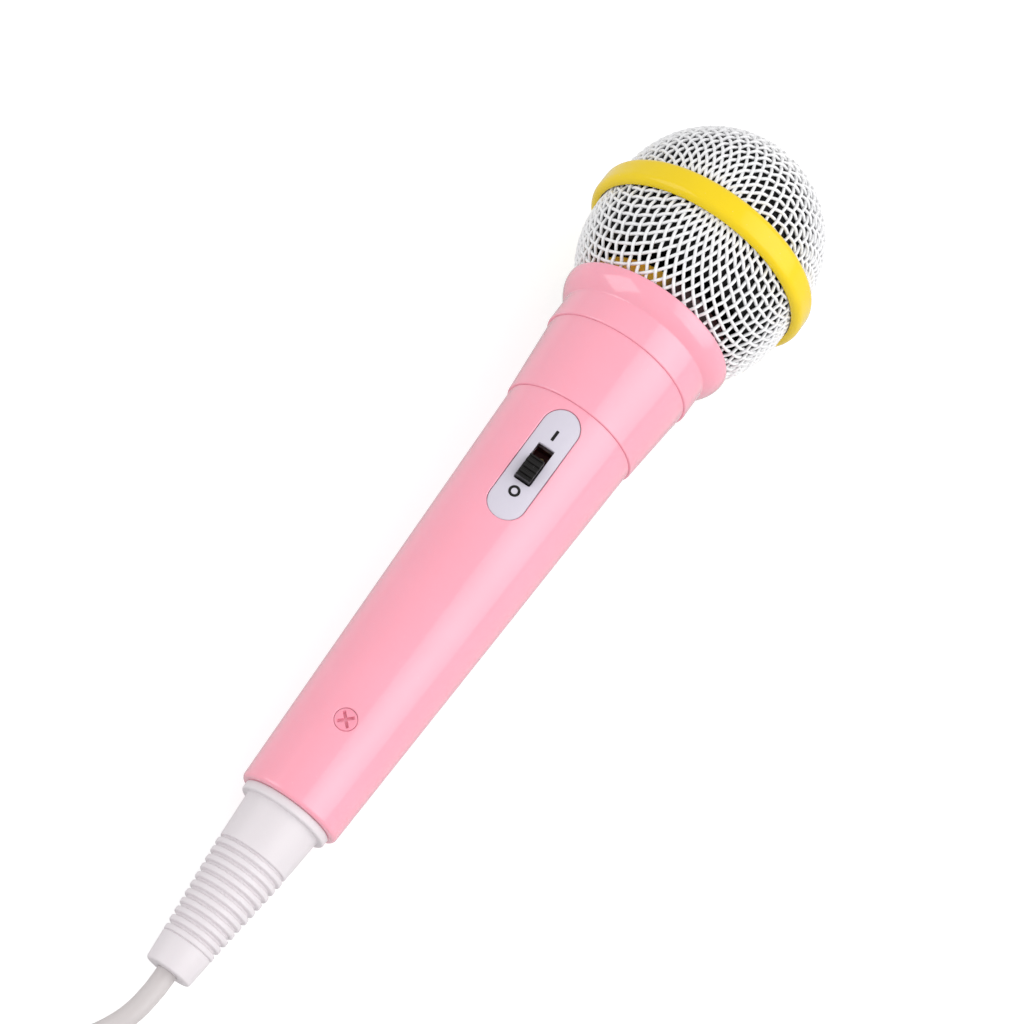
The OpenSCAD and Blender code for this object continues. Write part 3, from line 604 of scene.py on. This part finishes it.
# %% The plug
PLUG_AT = SLEEVE_END + Vector((-92, 30, 4.5))
plug_place = table @ Matrix.Translation(PLUG_AT) @ Matrix.Rotation(-math.pi / 2, 4, "Y")
GRIP_LEN, SLEEVE_LEN, RING_LEN, TIP_LEN, PIN_R, TIP_R = 24, 8.54, 0.7, 4.76, 1.75, 1.54
ring_at = GRIP_LEN + SLEEVE_LEN
grip_side = []
for k in range(7):
    z = 11.4 + k * 1.5
    grip_side += [(4.5, z, 0.2), (4.5, z + 0.75, 0.2), (4.2, z + 0.85, 0.15), (4.2, z + 1.35, 0.15)]
guard = []
for k in range(4):
    z = 1.2 + k * 1.5
    guard += [(2.85 + 0.1 * k, z, 0.2), (2.85 + 0.1 * k, z + 0.7, 0.2), (2.6, z + 0.85), (2.6, z + 1.35)]
grip_outline = rounded(
    [(0, 0), (2.75, 0, 0.3)] + guard + [(3.25, 7.2, 0.4), (3.9, 8.0, 0.8), (4.5, 9.6, 0.8)] + grip_side
    + [(4.5, 22, 0.5), (3.7, 23.4, 0.4), (2.9, GRIP_LEN, 0.2), (0, GRIP_LEN)], 3)
plug_grip = turned("plug_grip_ribbed", grip_outline, 96, place=plug_place)
settle(plug_grip, "white_grip", "plug_grip")
sleeve_outline = rounded([
    (0, GRIP_LEN), (PIN_R, GRIP_LEN, 0.05), (PIN_R, ring_at, 0.08), (0, ring_at)], 3)
plug_pin = turned("plug_pin", sleeve_outline, 64, place=plug_place)
settle(plug_pin, "nickel", "plug_sleeve")
ring_outline = [(0, ring_at), (TIP_R, ring_at), (TIP_R, ring_at + RING_LEN), (0, ring_at + RING_LEN)]
plug_ring = turned("plug_ring", ring_outline, 64, place=plug_place)
settle(plug_ring, "black_ring", "plug_insulator")
tip_at, waist = ring_at + RING_LEN, TIP_LEN * 0.35
tip_outline = rounded([
    (0, tip_at), (TIP_R, tip_at, 0.05), (TIP_R, tip_at + waist * 0.5, 0.2),
    (TIP_R * 0.75, tip_at + waist, 0.3), (TIP_R, tip_at + waist + 1, 0.3),
    (TIP_R, tip_at + waist + 1.6, 0.5), (TIP_R * 0.4, tip_at + TIP_LEN - 0.02, 0.4),
    (0, tip_at + TIP_LEN)], 4)
plug_tip = turned("plug_tip_end", tip_outline, 64, place=plug_place)
settle(plug_tip, "nickel", "plug_tip")
print("the pin is", round(SLEEVE_LEN + RING_LEN + TIP_LEN, 2), "mm long")

# %% [markdown]
# ## The woven ball
# The real grille is flat woven wire, pressed over a form. A weave keeps its wires' lengths when it is
# pressed, and only the angle between them changes: near the pole the holes stay square, and away from it,
# between the two main directions, they close to diamonds. That is a fisherman's net on a sphere, so the
# crossings are worked out one by one, each the same distance from its two neighbours. Then the wires go over
# and under in turn. A shader pattern couldn't do this, because the outline and the holes have to be real.

# %% Lay the net over a ball with a straight rim
PITCH, WIRE_R = 2.24, 0.375
CRIMP = 0.74 * WIRE_R
NET_R = BALL_R - WIRE_R - CRIMP + 0.02
RIM_DROP = (TOP_CENTRE - LOW_CENTRE) / 2


def to_surface(p):
    """The signed distance to the surface and its normal."""
    if p[2] >= 0:
        r = np.linalg.norm(p)
        return r - NET_R, p / r
    r = math.hypot(p[0], p[1])
    return r - NET_R, np.array((p[0] / r, p[1] / r, 0.0))


def crossing(a, b, start):
    """The point on the surface at one pitch from a and from b."""
    p = start
    for _ in range(12):
        d, n = to_surface(p)
        da, db = p - a, p - b
        la, lb = np.linalg.norm(da), np.linalg.norm(db)
        rows = np.array((da / la, db / lb, n))
        miss = np.array((la - PITCH, lb - PITCH, d))
        if abs(np.linalg.det(rows)) < 1e-3:
            return None
        p = p - np.linalg.solve(rows, miss)
    return p if abs(miss).max() < 1e-3 else None


def quarter_net():
    """Crossings (i, j) of a quarter of the net, as far as the rim and one beyond."""
    step = 2 * math.asin(PITCH / 2 / NET_R)
    net = {}
    for i in range(40):
        a = i * step
        down = NET_R * (a - math.pi / 2)
        on_ball = a <= math.pi / 2
        r, z = (NET_R * math.sin(a), NET_R * math.cos(a)) if on_ball else (NET_R, -down)
        net[i, 0], net[0, i] = np.array((r, 0, z)), np.array((0, r, z))
        if z < -RIM_DROP - PITCH:
            break
    for total in range(2, 80):
        for i in range(1, total):
            j = total - i
            a, b, c = (net.get(k) for k in ((i - 1, j), (i, j - 1), (i - 1, j - 1)))
            if a is None or b is None or c is None or (a[2] < -RIM_DROP and b[2] < -RIM_DROP):
                continue
            p = crossing(a, b, a + b - c)
            if p is not None and (p - c).dot(a + b - 2 * c) > 0:
                net[i, j] = p
    return net


net = quarter_net()
print("crossings in a quarter of the net:", len(net))


# %% Draw the wires through the crossings, over and under in turn
def wires(net):
    size = max(i for i, _ in net)
    def node(i, j):
        p = net.get((abs(i), abs(j)))
        return None if p is None else p * np.array((math.copysign(1, i), math.copysign(1, j), 1))
    made = []
    for across in (False, True):
        for j in range(-size, size + 1):
            run = []
            for i in range(-size, size + 2):
                key = (j, i) if across else (i, j)
                p = node(*key) if i <= size else None
                if p is not None:
                    run.append((p, 1 if (i + j) % 2 == across else -1))
                    continue
                if len(run) > 1:
                    made.append(run)
                run = []
    return made


def wire_line(run, steps=4):
    """Points along one wire, between its crossings, lifted over and pressed under."""
    p = np.array([q for q, _ in run])
    p = np.vstack([2 * p[0] - p[1], p, 2 * p[-1] - p[-2]])
    made = []
    for k in range(len(run) - 1):
        a, b, c, d = p[k:k + 4]
        lift = run[k][1]
        for t in np.arange(steps) / steps:
            q = between_points(a, b, c, d, t)
            off, n = to_surface(q)
            made.append(q - off * n + n * lift * CRIMP * math.cos(math.pi * t))
    return made


def clipped(line, low, high):
    """The runs of a line between two heights, cut where it crosses them."""
    runs, run = [], []
    for a, b in zip(line, line[1:]):
        inside_a, inside_b = low <= a[2] <= high, low <= b[2] <= high
        if inside_a and not run:
            run = [a]
        if inside_a != inside_b:
            edge = high if max(a[2], b[2]) > high else low
            cut = a + (b - a) * (edge - a[2]) / (b[2] - a[2])
            if inside_a:
                runs.append(run + [cut])
                run = []
            else:
                run = [cut]
        if inside_b:
            run.append(b)
    return [r for r in runs + [run] if len(r) > 2]


def grille(name, low, high, turn, centre, flip, sides=8):
    """One woven half, from low to high above its ball's centre, turned about the axis."""
    c, s = math.cos(math.radians(turn)), math.sin(math.radians(turn))
    points, faces = [], []
    for run in wires(net):
        for line in clipped(wire_line(run), low, high):
            p, f = tube_rings(line, WIRE_R, sides)
            x, y = p[:, 0] * c - p[:, 1] * s, p[:, 0] * s + p[:, 1] * c
            p = np.stack((x, -y if flip else y, centre + (-p[:, 2] if flip else p[:, 2])), 1)
            start = sum(len(q) for q in points)
            points.append(p)
            faces += [tuple(start + k for k in face) for face in f]
    made = solid(name, np.concatenate(points), faces, sharp=70)
    print(name, "has", len(faces), "faces")
    return made


UPPER_TURN, LOWER_TURN, RIM_GAP = 33, 40, 0.12
upper = grille("upper_grille_weave", RIM_GAP - RIM_DROP, BALL_R, UPPER_TURN, TOP_CENTRE, False)
settle(upper, "white_wire", "upper_grille")
foot = LOW_CENTRE - (LIP_TOP - 2.1)
lower = grille("lower_grille_weave", RIM_GAP - RIM_DROP, foot, LOWER_TURN, LOW_CENTRE, True)
settle(lower, "white_wire", "lower_grille")

# %% [markdown]
# ## Foam and band
# Behind the wire lies a layer of black foam, which keeps breath off the capsule. It is a soft sheet pressed
# against the wire, so its outside is a little uneven. The yellow band is a moulded hoop with fully rounded
# edges that covers the joint of the two grilles.

# %% The foam
FOAM_R, FOAM_T = NET_R - WIRE_R - 0.55, 3.2


def foam(name, start, end, centre, flip, node):
    """A skin of foam between two angles from the pole, with an uneven outside."""
    rows, cols = 44, 160
    points, sign = [], -1 if flip else 1
    outline = []
    for k in range(rows + 1):
        a = start + (end - start) * k / rows
        down = max(0.0, a - math.pi / 2) * FOAM_R
        for_ball = min(a, math.pi / 2)
        outline.append((math.sin(for_ball), math.cos(for_ball), down))
    skins = [(FOAM_R, outline), (FOAM_R - FOAM_T, outline[::-1])]
    for k in range(cols):
        angle = 2 * math.pi * k / cols
        for radius, side in skins:
            for out, high, down in side:
                p = Vector((radius * out * math.cos(angle), radius * out * math.sin(angle),
                            radius * high - down))
                dent = 0.22 * noise.noise(p * 1.1) + 0.12 * noise.noise(p * 3.1)
                p += Vector((p.x, p.y, max(0.0, p.z))).normalized() * dent
                points.append((p.x, p.y, centre + sign * p.z))
    made = solid(name, points, between(cols, 2 * (rows + 1), True), sharp=60)
    settle(made, "black_foam", node)
    return made


rim = math.pi / 2 + (RIM_DROP - 0.2) / FOAM_R
foam("foam_lining", 0.0, rim, TOP_CENTRE, False, "foam_dome")
foam_start = math.acos((LOW_CENTRE - (LIP_TOP + 7.2)) / FOAM_R)
foam("foam_skirt", foam_start, rim, LOW_CENTRE, True, "foam_ring")

# %% The band
half = BAND_W / 2
band_outline = rounded([
    (BALL_R + 0.1, BAND_AT - half, 0.25), (BAND_R, BAND_AT - half, 2.0),
    (BAND_R, BAND_AT + half, 2.0), (BALL_R + 0.1, BAND_AT + half, 0.25)], 10)
band = turned("yellow_band", band_outline, 256)
settle(band, "yellow_plastic", "grille_band")

# %% [markdown]
# ## Collar and neck
# Two pink mouldings carry the ball. The collar flares out at a clear corner and rounds off into the lip
# that holds the grille, and the neck continues the handle. Each stands a hair proud of the one before,
# and that little step is what makes the seams show, so each step gets its own small radius.

# %% The collar
FLARE_FOOT, LIP_FOOT, FLARE_STEPS = 129.2, 134.4, 12
SEAT_FOOT, THROAT_R = 132.1, 16.0
flare = [
    (COLLAR_R + (LIP_R - COLLAR_R) * (1 - (1 - k / FLARE_STEPS) ** 2),
     FLARE_FOOT + (LIP_FOOT - FLARE_FOOT) * k / FLARE_STEPS)
    for k in range(1, FLARE_STEPS)
]
seat = [
    (math.sqrt((BALL_R + 0.1) ** 2 - (LOW_CENTRE - z) ** 2), z)
    for z in np.linspace(LIP_TOP, SEAT_FOOT, 8)
]
collar_outline = rounded(
    [(THREAD_R + PLAY, NECK_TOP), (COLLAR_R, NECK_TOP, 0.35), (COLLAR_R, FLARE_FOOT, 0.7)]
    + flare + [(LIP_R, LIP_FOOT, 0.3), (LIP_R, LIP_TOP, 0.6)]
    + [(seat[0][0], seat[0][1], 0.15)] + seat[1:]
    + [(THROAT_R, SEAT_FOOT), (THROAT_R, THREAD_TOP + PLAY), (THREAD_R + PLAY, THREAD_TOP + PLAY)], 6)
collar = turned("collar", collar_outline, 256, sharp=40)
settle(collar, "pink_plastic", "head_collar")

# %% The neck
neck_outline = rounded([
    (SPIGOT_R + PLAY, HANDLE_LEN), (NECK_TAIL_R, HANDLE_LEN, 0.35), (NECK_HEAD_R, NECK_TOP, 0.1),
    (THREAD_R, NECK_TOP), (THREAD_R, THREAD_TOP), (THREAD_R - THREAD_WALL, THREAD_TOP),
    (THREAD_R - THREAD_WALL, NECK_TOP - 1), (14.95, SPIGOT_TOP + PLAY + 2), (BORE_R, SPIGOT_TOP + PLAY),
    (SPIGOT_R + PLAY, SPIGOT_TOP + PLAY)], 6)
neck = turned("neck", neck_outline, 256)
settle(neck, "pink_plastic", "neck_housing")

# %% [markdown]
# ## Handle
# The handle is one tapered shell, closed at the tail except for the cord's sleeve. The switch plate lies in
# a shallow seat with a soft edge, and the screw at the tail lies in a round one. The seats are cut out of the
# turned shell with cutters that already have the soft edge on them. A cut leaves wide faces round it, so the
# exact direction of the cone is written onto the mesh afterwards, or the gloss would show ripples.

# %% Loops that follow the handle's surface
def stadium_row(k, off):
    """Station and half width of row k of a stadium, grown by off. Rows are close together at its ends."""
    r = PLATE_W / 2 + off
    straight = (PLATE_LEN - PLATE_W) / 2
    if CAP_ROWS < k < ROWS - CAP_ROWS:
        return -straight + 2 * straight * (k - CAP_ROWS) / (ROWS - 2 * CAP_ROWS), r
    a = math.pi / 2 * min(k, ROWS - k) / CAP_ROWS
    end = -1 if k <= CAP_ROWS else 1
    return end * (straight + r * math.cos(a)), r * math.sin(a)


ROWS, CAP_ROWS = 32, 10


def cushion(name, layers):
    """A solid with a stadium's outline that follows the handle. Layers are (growth, height), top first."""
    cols = 12
    points = []
    def border(off, h):
        rows = [stadium_row(k, off) for k in range(ROWS + 1)]
        right = [on_handle(PLATE_AT, w, z, h) for z, w in rows]
        left = [on_handle(PLATE_AT, -w, z, h) for z, w in reversed(rows)]
        return right + left
    n = 2 * (ROWS + 1)
    for off, h in layers:
        points += border(off, h)
    faces = between(len(layers), n)
    for off, h in (layers[0], layers[-1]):
        base = len(points)
        for k in range(ROWS + 1):
            z, w = stadium_row(k, off)
            points += [on_handle(PLATE_AT, w * (2 * c / cols - 1), z, h) for c in range(cols + 1)]
        faces += [
            (base + k * (cols + 1) + c, base + k * (cols + 1) + c + 1,
             base + (k + 1) * (cols + 1) + c + 1, base + (k + 1) * (cols + 1) + c)
            for k in range(ROWS)
            for c in range(cols)
        ]
    return solid(name, points, faces)


def circle(radius, z=0.0, n=64):
    """A circle of (y, z)."""
    turn = [2 * math.pi * k / n for k in range(n)]
    return [(radius * math.cos(a), z + radius * math.sin(a)) for a in turn]


def round_loop(station, radius, h):
    """A circle laid on the handle, h above its surface."""
    return [on_handle(station, y, z, h) for y, z in circle(radius)]


def flat_loop(station, radius, h, z=0.0, n=64):
    """A circle h above the tangent plane at a station, its centre z along."""
    return [above_handle(station, h, y, s) for y, s in circle(radius, z, n)]


def box(length, width, corner, steps):
    """A rectangle of (y, z) with round corners, length along z."""
    y, z = width / 2, length / 2
    return rounded([(-y, -z, corner), (y, -z, corner), (y, z, corner), (-y, z, corner)], steps)


def slot_loop(grow, h, corner=0.3):
    return [on_handle(PLATE_AT, y, z, h) for y, z in box(SLOT_LEN + 2 * grow, SLOT_W + 2 * grow, corner, 4)]


# %% Turn the handle, then cut the seats
handle_outline = rounded([
    (SLEEVE_HOLE_R, 0, 0.3), (TAIL_R, 0, 0.9), (HEAD_R, HANDLE_LEN, 0.12), (SPIGOT_R, HANDLE_LEN),
    (SPIGOT_R, SPIGOT_TOP, 0.3), (BORE_R, SPIGOT_TOP, 0.2), (BORE_R, HANDLE_LEN),
    (handle_r(TAIL_WALL) - WALL, TAIL_WALL), (SLEEVE_HOLE_R, TAIL_WALL)], 6)
handle = turned("handle", handle_outline, 256)
SEAT_EDGE = [(0.75, 0.6), (0.34, 0.02), (0.23, -0.02), (0.12, -0.09), (0.04, -0.2), (0.02, -1.25)]
handle = carve(handle, cushion("seat_cutter", SEAT_EDGE))
handle = carve(handle, stacked("slot_cutter", [slot_loop(0.5, h) for h in (1, -4)]))
for side in (-1, 1):
    stud = [flat_loop(PLATE_AT, STUD_R, h, side * STUD_AT, 24) for h in (1, -5)]
    handle = carve(handle, stacked("stud_cutter", stud))
SCREW_R, SEAT_FLOOR = 1.1, -1.45
SCREW_SEAT = [(2.95, 0.5), (2.8, 0.02), (2.66, -0.03), (2.54, -0.12), (2.46, -0.24),
              (2.46, SEAT_FLOOR)]
screw_seat = stacked("screw_seat_cutter", [round_loop(SCREW_AT, r, h) for r, h in SCREW_SEAT])
handle = carve(handle, screw_seat)
screw_hole = [flat_loop(SCREW_AT, SCREW_R + PLAY, h, n=32) for h in (0, -5)]
handle = carve(handle, stacked("screw_hole_cutter", screw_hole))
print("the handle has", len(handle.data.polygons), "faces")


# %% Write the cone's own direction onto the handle's outside
def true_cone(obj, drop=0.0, reach=0.02):
    """Loops on the handle's tapered surface, drop below it, get its exact normal."""
    mesh, back = obj.data, lay_down.inverted()
    turn = lay_down.to_3x3().normalized()
    local = [back @ v.co for v in mesh.vertices]
    normals = [Vector(c.vector) for c in mesh.corner_normals]
    count = 0
    for face in mesh.polygons:
        corners = [local[i] for i in face.vertices]
        if any(abs(math.hypot(p.x, p.y) - (handle_r(p.z) - drop)) > reach for p in corners):
            continue
        middle = sum(corners, Vector()) / len(corners)
        facing = back.to_3x3() @ face.normal
        if facing.normalized().dot(Vector((middle.x, middle.y, 0)).normalized()) < 0.98:
            continue
        for loop, p in zip(face.loop_indices, corners):
            out = Vector((p.x, p.y, 0)).normalized()
            exact = out * math.cos(SLOPE) - Vector((0, 0, 1)) * math.sin(SLOPE)
            normals[loop] = (turn @ exact).normalized()
            count += 1
    mesh.normals_split_custom_set(normals)
    print(obj.name, "corners set to the cone:", count)


true_cone(handle)
settle(handle, "pink_plastic", "handle_tube")

# %% [markdown]
# ## Switch
# The plate is a thin lavender-white moulding with a soft edge, set a little below the handle's surface. A
# black knob slides in its slot, with cross ribs for the thumb. The words on such a plate are left out, and
# two plain marks stand in for them: a bar for on, toward the head, and a ring for off.

# %% The plate
SUNK = 0.3
plate = cushion("switch_plate_face", [(-0.36, -SUNK), (-0.18, -SUNK - 0.02), (-0.08, -SUNK - 0.09),
                                      (-0.04, -SUNK - 0.2), (-0.04, -1.18)])
slot_cutter = stacked("plate_slot_cutter", [
    slot_loop(grow, h, 0.25 + grow)
    for grow, h in ((0.3, 0.4), (0.16, -SUNK + 0.01), (0.05, -SUNK - 0.05), (0.0, -SUNK - 0.16),
                    (0.0, -2.5))])
plate = carve(plate, slot_cutter)
true_cone(plate, SUNK, 0.03)
settle(plate, "lavender_plastic", "switch_plate")

# %% The two marks
INK = 0.03


def inked(loop, h):
    return [on_handle(PLATE_AT, y, z, h - SUNK) for y, z in loop]


bar = rounded([(-0.34, 6.5, 0.12), (0.34, 6.5, 0.12), (0.34, 9.1, 0.12), (-0.34, 9.1, 0.12)], 3)
settle(stacked("mark_on", [inked(bar, -INK), inked(bar, INK)]), "black_knob")
ring_out, ring_in = circle(1.3, -7.4, 48), circle(0.72, -7.4, 48)
loops = [inked(ring_out, -INK), inked(ring_out, INK), inked(ring_in, INK), inked(ring_in, -INK)]
ring = solid("mark_off", [p for loop in loops for p in loop], between(4, 48, True))
settle(ring, "black_knob")

# %% The knob
KNOB_LEN, KNOB_W, KNOB_H, KNOB_FOOT, REST, KNOB_EDGE = 5.6, 3.6, 1.7, -3.3, -1.8, 0.00013
knob_side = [(REST - KNOB_LEN / 2, KNOB_FOOT), (REST - KNOB_LEN / 2, KNOB_H)]
ribs = 4
for k in range(ribs):
    z = REST - KNOB_LEN / 2 + (k + 0.5) * KNOB_LEN / ribs
    w = KNOB_LEN / ribs / 4
    knob_side += [(z - w, KNOB_H), (z - w * 0.7, KNOB_H - 0.5), (z + w * 0.7, KNOB_H - 0.5), (z + w, KNOB_H)]
knob_side += [(REST + KNOB_LEN / 2, KNOB_H), (REST + KNOB_LEN / 2, KNOB_FOOT)]


def as_wide_as_the_knob(name, side):
    """A solid from its side outline of (z, x)."""
    ends = (-KNOB_W / 2, KNOB_W / 2)
    return stacked(name, [[above_handle(PLATE_AT, x, y, z) for z, x in side] for y in ends])


knob = as_wide_as_the_knob("switch_knob_ribbed", knob_side)
for name, half, top, foot in (("stem", 2.8, -3.2, -3.6), ("shoe", 3.3, -3.5, -4.9)):
    side = [(REST - half, top), (REST + half, top), (REST + half, foot), (REST - half, foot)]
    knob = carve(knob, as_wide_as_the_knob(name, side), "UNION")
soften = knob.modifiers.new("soften", "BEVEL")
soften.width, soften.segments, soften.limit_method = KNOB_EDGE, 3, "ANGLE"
soften.angle_limit = math.radians(30)
settle(knob, "black_knob", "switch_knob", body="switch_slider")

# %% [markdown]
# ## Screw and sleeve
# The screw that closes the tail is painted with the handle, so only its edge and its cross show. The white
# sleeve round the cord is soft vinyl: a flange under the handle, a smooth shoulder, a row of ribs that lets
# it bend, and a plain end.

# %% The screw
SCREW_SIDE = [(SCREW_R, -8.4), (SCREW_R, SEAT_FLOOR), (2.4, SEAT_FLOOR), (2.4, -0.42),
              (2.36, -0.33), (2.28, -0.26), (2.16, -0.23)]
screw = stacked("tail_screw", [flat_loop(SCREW_AT, r, h) for r, h in SCREW_SIDE])
for turn in (45, 135):
    t = math.radians(turn)
    arm = []
    for h, half_len, half_w in ((0.4, 2.05, 0.45), (-0.23, 1.9, 0.36), (-0.95, 1.45, 0.25)):
        ring = box(2 * half_w, 2 * half_len, 0.15, 3)
        arm.append([above_handle(SCREW_AT, h, a * math.cos(t) - b * math.sin(t),
                                 a * math.sin(t) + b * math.cos(t)) for a, b in ring])
    screw = carve(screw, stacked("cross_cutter", arm))
settle(screw, "pink_screw", "handle_screw")

# %% The sleeve
FLANGE_R, SHOULDER_R, NECK_R, END_R, RIB_DEEP, RIB_COUNT = 10.2, 8.75, 8.05, 5.2, 0.6, 11
RIBS_TOP, RIBS_LEN, SLEEVE_LOW, CORD_HOLE_R = -12.2, 21.9, -40.5, CORD_R + PLAY
rib_pitch = RIBS_LEN / RIB_COUNT
sleeve_side = []
for k in range(RIB_COUNT):
    z = RIBS_TOP - k * rib_pitch
    r = NECK_R + (END_R + 0.5 - NECK_R) * k / RIB_COUNT
    low = r - RIB_DEEP
    sleeve_side += [(low, z, 0.12), (low, z - 0.2 * rib_pitch, 0.12), (r, z - 0.36 * rib_pitch, 0.3),
                    (r, z - 0.86 * rib_pitch, 0.3)]
sleeve_outline = rounded(
    [(CORD_HOLE_R, 5.4), (SLEEVE_HOLE_R, 5.4), (8.0, 4.6), (8.0, TAIL_WALL), (6.9, TAIL_WALL),
     (6.9, 0.0), (FLANGE_R, 0, 0.35), (FLANGE_R, -2, 0.45), (SHOULDER_R, -2, 0.25),
     (NECK_R, RIBS_TOP + 0.02, 0.35)] + sleeve_side
    + [(END_R + 0.6 - RIB_DEEP, RIBS_TOP - RIBS_LEN, 0.12), (END_R + 0.6, RIBS_TOP - RIBS_LEN, 0.3),
       (END_R, SLEEVE_LOW, 0.5), (CORD_HOLE_R, SLEEVE_LOW, 0.15)], 4)
sleeve = turned("cord_sleeve", sleeve_outline, 160)
settle(sleeve, "white_boot", "strain_relief_boot")

# %% [markdown]
# ## Pieces inside
# The capsule, the switch's working parts, the block in the tail and the wires are right as the CAD made
# them, so they stay and only get their finishes.

# %% Finish the inner pieces
kept = {
    "amber_plastic": ["capsule_cradle"],
    "capsule_steel": ["capsule_case", "pole_plate", "magnet_yoke"],
    "capsule_black": ["capsule_front_cap"],
    "clear_film": ["diaphragm"],
    "copper_wire": ["voice_coil"],
    "dark_magnet": ["capsule_magnet"],
    "switch_steel": ["switch_frame", "cable_crimp"],
    "dark_red_board": ["switch_base"],
    "brass_pins": ["switch_terminals", "switch_contact"],
    "ivory_plastic": ["tail_block"],
    "white_cord": ["inner_cord"],
    "red_wire": ["signal_wire"],
    "yellow_wire": ["link_wire"],
    "black_wire": ["ground_wire"],
}
for slot_name, names in kept.items():
    for name in names:
        node = frame["nodes"][name]
        node.data.materials.clear()
        node.data.materials.append(looks[slot_name])
        for face in node.data.polygons:
            face.material_index = 0
finished = {name for names in kept.values() for name in names}
bare = [n for n, o in frame["nodes"].items() if not o.hide_render and n not in finished]
print("kept from the CAD:", len(finished), "still bare:", bare)

# %% [markdown]
# ## Table and light
# A plain pale table, a soft bright surround, and one large softbox to the right. Its near edge draws the
# crisp line along the handle. Three smaller glows just in front of it make it brightest at its middle, so
# the highlight fades toward the handle's side. The table glows a little to the eye only, as lit paper does,
# so it stays pale without lighting the plastic from below.

# %% Table
mesh = bpy.data.meshes.new("table")
mesh.from_pydata([(-6, -6, 0), (6, -6, 0), (6, 6, 0), (-6, 6, 0)], [], [(0, 1, 2, 3)])
floor = bpy.data.objects.new("table", mesh)
scene.collection.objects.link(floor)
floor_look = bpy.data.materials.new("table")
floor_look.use_nodes = True
paper = floor_look.node_tree.nodes["Principled BSDF"]
paper.inputs["Base Color"].default_value = (0.66, 0.66, 0.66, 1)
paper.inputs["Roughness"].default_value = 0.8
paper.inputs["Emission Color"].default_value = (1, 1, 1, 1)
glow = add(floor_look.node_tree, "ShaderNodeMath", operation="MULTIPLY")
glow.inputs[1].default_value = 0.5
eye = add(floor_look.node_tree, "ShaderNodeLightPath")
link(eye, "Is Camera Ray", glow, 0)
link(glow, 0, paper, "Emission Strength")
mesh.materials.append(floor_look)


# %% Lights
def softbox(name, middle, aim, width, length, power):
    lamp = bpy.data.lights.new(name, "AREA")
    lamp.shape, lamp.size, lamp.size_y, lamp.energy = "RECTANGLE", width, length, power
    lit = bpy.data.objects.new(name, lamp)
    scene.collection.objects.link(lit)
    look = (Vector(aim) - Vector(middle)).to_track_quat("-Z", "Y")
    lit.matrix_world = Matrix.Translation(middle) @ look.to_matrix().to_4x4()


MAIN_AT, AIM, BOX_SIZE = (0.10, -0.80, 0.66), (0.0, 0.0, 0.03), 1.3
softbox("main softbox", MAIN_AT, AIM, BOX_SIZE, BOX_SIZE, 5.0)
GLOW_POWER = 1.6
for name, tall, nearer in (("wide glow", 0.95, 0.97), ("middle glow", 0.62, 0.94),
                           ("centre glow", 0.32, 0.91)):
    softbox(name, Vector(MAIN_AT) * nearer, AIM, BOX_SIZE, tall, GLOW_POWER * tall / BOX_SIZE)
softbox("fill softbox", (-0.5, 0.95, 0.7), AIM, 0.9, 0.9, 3.9)
world = bpy.data.worlds.new("pale surround")
world.use_nodes = True
world.node_tree.nodes["Background"].inputs["Color"].default_value = (1, 1, 1, 1)
world.node_tree.nodes["Background"].inputs["Strength"].default_value = 0.80
scene.world = world
scene.view_settings.view_transform = "Standard"
